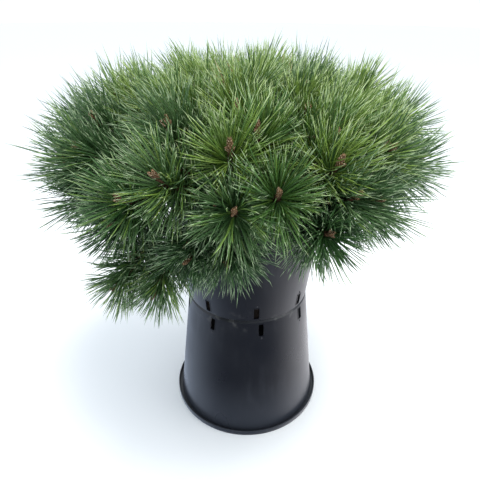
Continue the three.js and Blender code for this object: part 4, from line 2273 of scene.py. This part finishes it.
@dataclass(frozen=True)
class PottingMix:
    """The mix in the upper container, with a crumbly surface and chips of bark on it."""

    foot: float = 252.6
    bottom: float = 3.1
    bevel: float = 3.0
    top: float = 230.3
    edge_drop: float = 5.0
    shoulder: float = 12.0
    inset: float = 0.4
    hub: float = 4.0
    rings: int = 34
    segments: int = 110
    lump: float = 2.2
    lump_sunk: float = 0.75
    chips: int = 260
    chip: Pair = (3.0, 8.0)
    chip_width: Pair = (0.35, 0.7)
    chip_edge: Pair = (0.75, 1.1)
    chip_sides: int = 6
    chip_sunk: float = 1.2
    chip_under: float = 0.7
    chip_depth: float = 0.1
    chip_over: float = 0.75
    chip_rise: float = 0.16
    chip_tilt: float = 0.35
    chip_reach: float = 116.0
    chip_seed: int = 11
    trunk_radius: float = 34.0
    finish: DampMix = DampMix()

    @staticmethod
    def lumps(x: np.ndarray, y: np.ndarray) -> np.ndarray:
        """Sums waves of unlike lengths, which are in millimetres.

        Args:
            x: Places on the surface, to the right.
            y: The same places, to the back.

        Returns:
            The lumps there.
        """
        return (
            np.sin(x / 5.1 + 1.3 * np.sin(y / 7.3))
            * np.sin(y / 4.3 + 1.7 * np.sin(x / 6.1))
            + 0.5 * np.sin(x / 1.9 + y / 2.3) * np.sin(y / 1.7 - x / 2.9)
        )

    def surface(self, container: Container) -> Shape:
        """Makes the body of mix with its lumpy surface.

        Args:
            container: The container that it fills.

        Returns:
            The body.
        """
        bend, edge = self.bottom + self.bevel, self.top - self.edge_drop
        low = [
            (container.inner_radius(self.bottom) - self.bevel - self.inset, self.bottom),
            (container.inner_radius(bend) - self.inset, bend),
            (container.inner_radius(edge) - self.inset, edge),
        ]
        outer = container.inner_radius(self.top) - self.shoulder
        reaches = np.linspace(outer, self.hub, self.rings)
        profile = np.array(low + [(reach, self.top) for reach in reaches])
        rings = turned(profile[:, 0], profile[:, 1] + self.foot, self.segments)
        surface = rings[len(low) :]
        lumps = self.lumps(surface[:, :, 0], surface[:, :, 1])
        surface[:, :, 2] += self.lump * (0.5 * lumps - self.lump_sunk)
        return closed_rings(rings)

    def chip_shapes(self) -> list[Shape]:
        """Makes the chips, each a flat bent lozenge.

        Returns:
            The chips.
        """
        rng = np.random.default_rng(self.chip_seed)
        chips = []
        for _ in range(self.chips):
            reach = math.sqrt(rng.uniform(self.trunk_radius**2, self.chip_reach**2))
            at = polar(rng.uniform(0, 360), reach, self.foot + self.top - self.chip_sunk)
            size = rng.uniform(*self.chip)
            wide = np.array([1.0, rng.uniform(*self.chip_width), 1.0])
            edge = rng.uniform(*self.chip_edge, (self.chip_sides, 1))
            flat = size * circle(self.chip_sides) * wide * edge
            under = self.chip_under * flat - self.chip_depth * size * UP
            over = self.chip_over * flat + self.chip_rise * size * UP
            way = unit(UP + self.chip_tilt * rng.normal(size=3))
            chip = closed_rings(np.array([under, flat, over]))
            chips.append(placed(chip, at, way, rng.uniform(0, 6), 1.0))
        return chips

    def build(self, container: Container) -> None:
        """Builds the mix in its container."""
        mixed = Shape.joined([self.surface(container), *self.chip_shapes()])
        add_piece("potting_mix", mixed, [self.finish.material()], "soil", ["soil"])


# ---- studio ----


@dataclass(frozen=True)
class Lamp:
    """A soft square lamp: place and width in metres, power in watts, and a linear colour."""

    name: str
    at: Triple
    size: float
    power: float
    colour: Triple

    def place(self, target: Vector) -> None:
        """Sets the lamp up.

        Args:
            target: The place that it is turned to.
        """
        data = bpy.data.lights.new(self.name, "AREA")
        data.shape = "SQUARE"
        data.size = self.size
        data.energy = self.power
        data.color = self.colour
        lamp = bpy.data.objects.new(self.name, data)
        lamp.location = self.at
        lamp.rotation_mode = "QUATERNION"
        lamp.rotation_quaternion = (target - lamp.location).to_track_quat("-Z", "Y")
        bpy.context.scene.collection.objects.link(lamp)


@dataclass(frozen=True)
class Studio:
    """The pale floor, the soft lamps and the camera."""

    floor_radius: float = 14.0
    floor_sides: int = 96
    sky: Linear = (0.91, 0.985, 1.06, 1.0)
    sky_strength: float = 1.12
    # Below the floor the sky is seen only in reflections: a dark painted shadow in front and paler
    # painted reflections to the sides.
    painted_near_shadow: Linear = (0.06, 0.07, 0.1, 1.0)
    painted_left_reflection: Linear = (0.66, 0.78, 0.98, 1.0)
    painted_right_reflection: Linear = (1.35, 1.35, 1.42, 1.0)
    side_reflection_shift: Pair = (-0.4, 0.4)
    near_shadow_shift: Pair = (-0.75, 0.15)
    sky_shift: Pair = (-0.12, -0.06)
    lamps: tuple[Lamp, ...] = (
        Lamp("overhead", (0.5, -0.4, 2.8), 1.1, 52.0, (1.0, 0.97, 0.9)),
        Lamp("right_hand", (2.1, -0.6, 1.5), 1.2, 14.0, (1.0, 0.99, 0.97)),
    )
    target: Triple = (0.0, 0.0, 0.5)
    camera_at: Triple = (0.0, -712.5, 753.15)
    pitch: float = 0.5110
    roll: float = 0.01078
    focal: float = 439.09
    frame_side: float = 480.0
    axis_column: float = 248.09
    sensor: float = 36.0
    clip: Pair = (0.05, 60.0)

    def build(self) -> None:
        """Sets the whole studio up."""
        scene = bpy.context.scene
        scene.view_settings.view_transform = "Standard"
        edge = self.floor_radius * circle(self.floor_sides)
        mesh = bpy.data.meshes.new("floor")
        mesh.from_pydata(edge.tolist(), [], [list(range(self.floor_sides))])
        mesh.materials.append(PaleFloor().material())
        floor = bpy.data.objects.new("floor", mesh)
        scene.collection.objects.link(floor)
        # The floor is hidden from reflections, which see the painted sky below it.
        floor.visible_glossy = False
        floor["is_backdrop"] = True
        self.add_sky()
        for lamp in self.lamps:
            lamp.place(Vector(self.target))
        self.add_camera()
        log.info("studio: floor, %d lamps and camera", len(self.lamps))

    def add_sky(self) -> None:
        """Adds the sky, and below the floor what the containers' sheen picks up: a painted shadow
        in front and painted reflections to the sides.
        """
        world = bpy.data.worlds.new("studio")
        world.use_nodes = True
        nodes = Nodes(world.node_tree)
        background = nodes.tree.nodes["Background"]
        background.inputs["Strength"].default_value = self.sky_strength
        parts = nodes.add("ShaderNodeSeparateXYZ")
        nodes.link(nodes.add("ShaderNodeTexCoord").outputs["Generated"], parts.inputs["Vector"])

        def shift(axis: str, span: Pair, first: Linear | Socket, second: Linear | Socket) -> Socket:
            """Returns a colour that goes from a first to a second along an axis."""
            return nodes.mix(nodes.span(parts.outputs[axis], span, WHOLE), first, second)

        # Below the horizon: painted reflections to the sides and a painted shadow in front.
        sides = shift("X", self.side_reflection_shift, self.painted_left_reflection, self.painted_right_reflection)
        ground = shift("Y", self.near_shadow_shift, self.painted_near_shadow, sides)
        sky = shift("Z", self.sky_shift, ground, self.sky)
        nodes.link(sky, background.inputs["Color"])
        bpy.context.scene.world = world

    def add_camera(self) -> None:
        """Adds the camera."""
        data = bpy.data.cameras.new("camera")
        data.sensor_width = self.sensor
        data.lens = self.sensor * self.focal / self.frame_side
        data.shift_x = (self.frame_side / 2 - self.axis_column) / self.frame_side
        data.clip_start, data.clip_end = self.clip
        camera = bpy.data.objects.new("camera", data)
        tilt = Matrix.Rotation(math.pi / 2 - self.pitch, 4, "X")
        roll = Matrix.Rotation(self.roll, 4, "Z")
        at = (np.array(self.camera_at) + AXIS) * METRE
        camera.matrix_world = Matrix.Translation(at) @ tilt @ roll
        bpy.context.scene.collection.objects.link(camera)
        bpy.context.scene.camera = camera


# ---- the whole plant ----


@dataclass
class Pine:
    """The plant: trunk, boughs, twigs, needles and buds."""

    skeleton: Skeleton = Skeleton()
    wood: Wood = Wood()
    buds: BudCluster = BudCluster()
    bark: ScalyBark = ScalyBark("bark", (96, 74, 56), (44, 32, 25), (128, 112, 96), 150.0)
    twig_bark: ScalyBark = ScalyBark(
        "twig_bark", (112, 78, 52), (58, 38, 26), (150, 116, 84), 420.0
    )
    scales: BudSkin = BudSkin("bud_scale", (150, 114, 80), (98, 72, 52), 0.55)
    resin: BudSkin = BudSkin("bud_resin", (242, 224, 194), (200, 166, 130), 0.4)
    side_seed: int = 1000
    twig_seed: int = 2000
    bud_seed: int = 5000

    def build(self) -> None:
        """Builds the whole plant."""
        limbs = self.skeleton.limbs()
        bark = self.bark.material()
        add_piece("trunk_bark", self.wood.trunk(self.skeleton), [bark], "bark", ["trunk"])
        boughs = Shape.joined([self.wood.bough(limb) for limb in limbs if limb.bough])
        nodes = [f"bough_{limb.name}" for limb in limbs if limb.bough]
        add_piece("bough_bark", boughs, [bark], "bark", nodes)
        skins = [WaxySkin(f"needle_{green.name.lower()}", green.value) for green in GREENS]
        # Paler copies of each green for the outer parts and tips: painted highlights.
        for part, share in (("outer", OUTER_PALE), ("tip", TIP_PALE)):
            for green in GREENS:
                skins.append(WaxySkin(f"{part}_{green.name.lower()}", paled(green.value, share)))
        needles = Bundle("needles", [skin.material() for skin in skins], "needles")
        twigs = Bundle("twigs", [self.twig_bark.material()], "bark")
        buds = Bundle("buds", [self.scales.material(), self.resin.material()], "bark")
        foliage = Foliage(self.skeleton, limbs)
        own = 0
        for limb in limbs:
            node = f"foliage_{limb.name}"
            coats: list[Shape] = []
            sticks = [self.wood.stem(limb)]
            ends: list[Shape] = []
            for shoot in limb.shoots:
                coats.append(foliage.needles(shoot, own, foliage.main, own))
                sticks.append(self.wood.shoot(shoot))
                ends.extend(self.buds.cluster(shoot, self.bud_seed + own))
                twig = foliage.side_twig(shoot, own, self.side_seed + own)
                coats.append(foliage.needles(twig, own, foliage.side, self.twig_seed + own))
                sticks.append(self.wood.side_twig(twig))
                ends.append(self.buds.single(twig, self.twig_seed + own))
                own += 1
            needles.add(coats, node)
            twigs.add(sticks, node)
            buds.add(ends, node)
        needles.close()
        twigs.close()
        buds.close()


def main() -> None:
    """Builds the studio, the containers, the mix and the plant, and measures the bounds of what is
    shown.
    """
    logging.basicConfig(level=logging.INFO, format="%(message)s")
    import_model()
    solid_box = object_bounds()
    Studio().build()
    plastic = MouldedPlastic()
    # The second finish, for the containers' insides, is painted shade.
    finishes = [plastic.material(), plastic.unlit()]
    stand = Container(slot_turn=-12.5, upturned=True, lift=0.0)
    pot = Container(slot_turn=8.0, upturned=False, lift=252.6)
    stand.build("stand_container", "stand_pot", finishes)
    pot.build("plant_container", "pot", finishes)
    PottingMix().build(pot)
    Pine().build()
    boxes = [[list(corner) for corner in box] for box in (solid_box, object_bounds())]


if __name__ == "__main__":
    main()
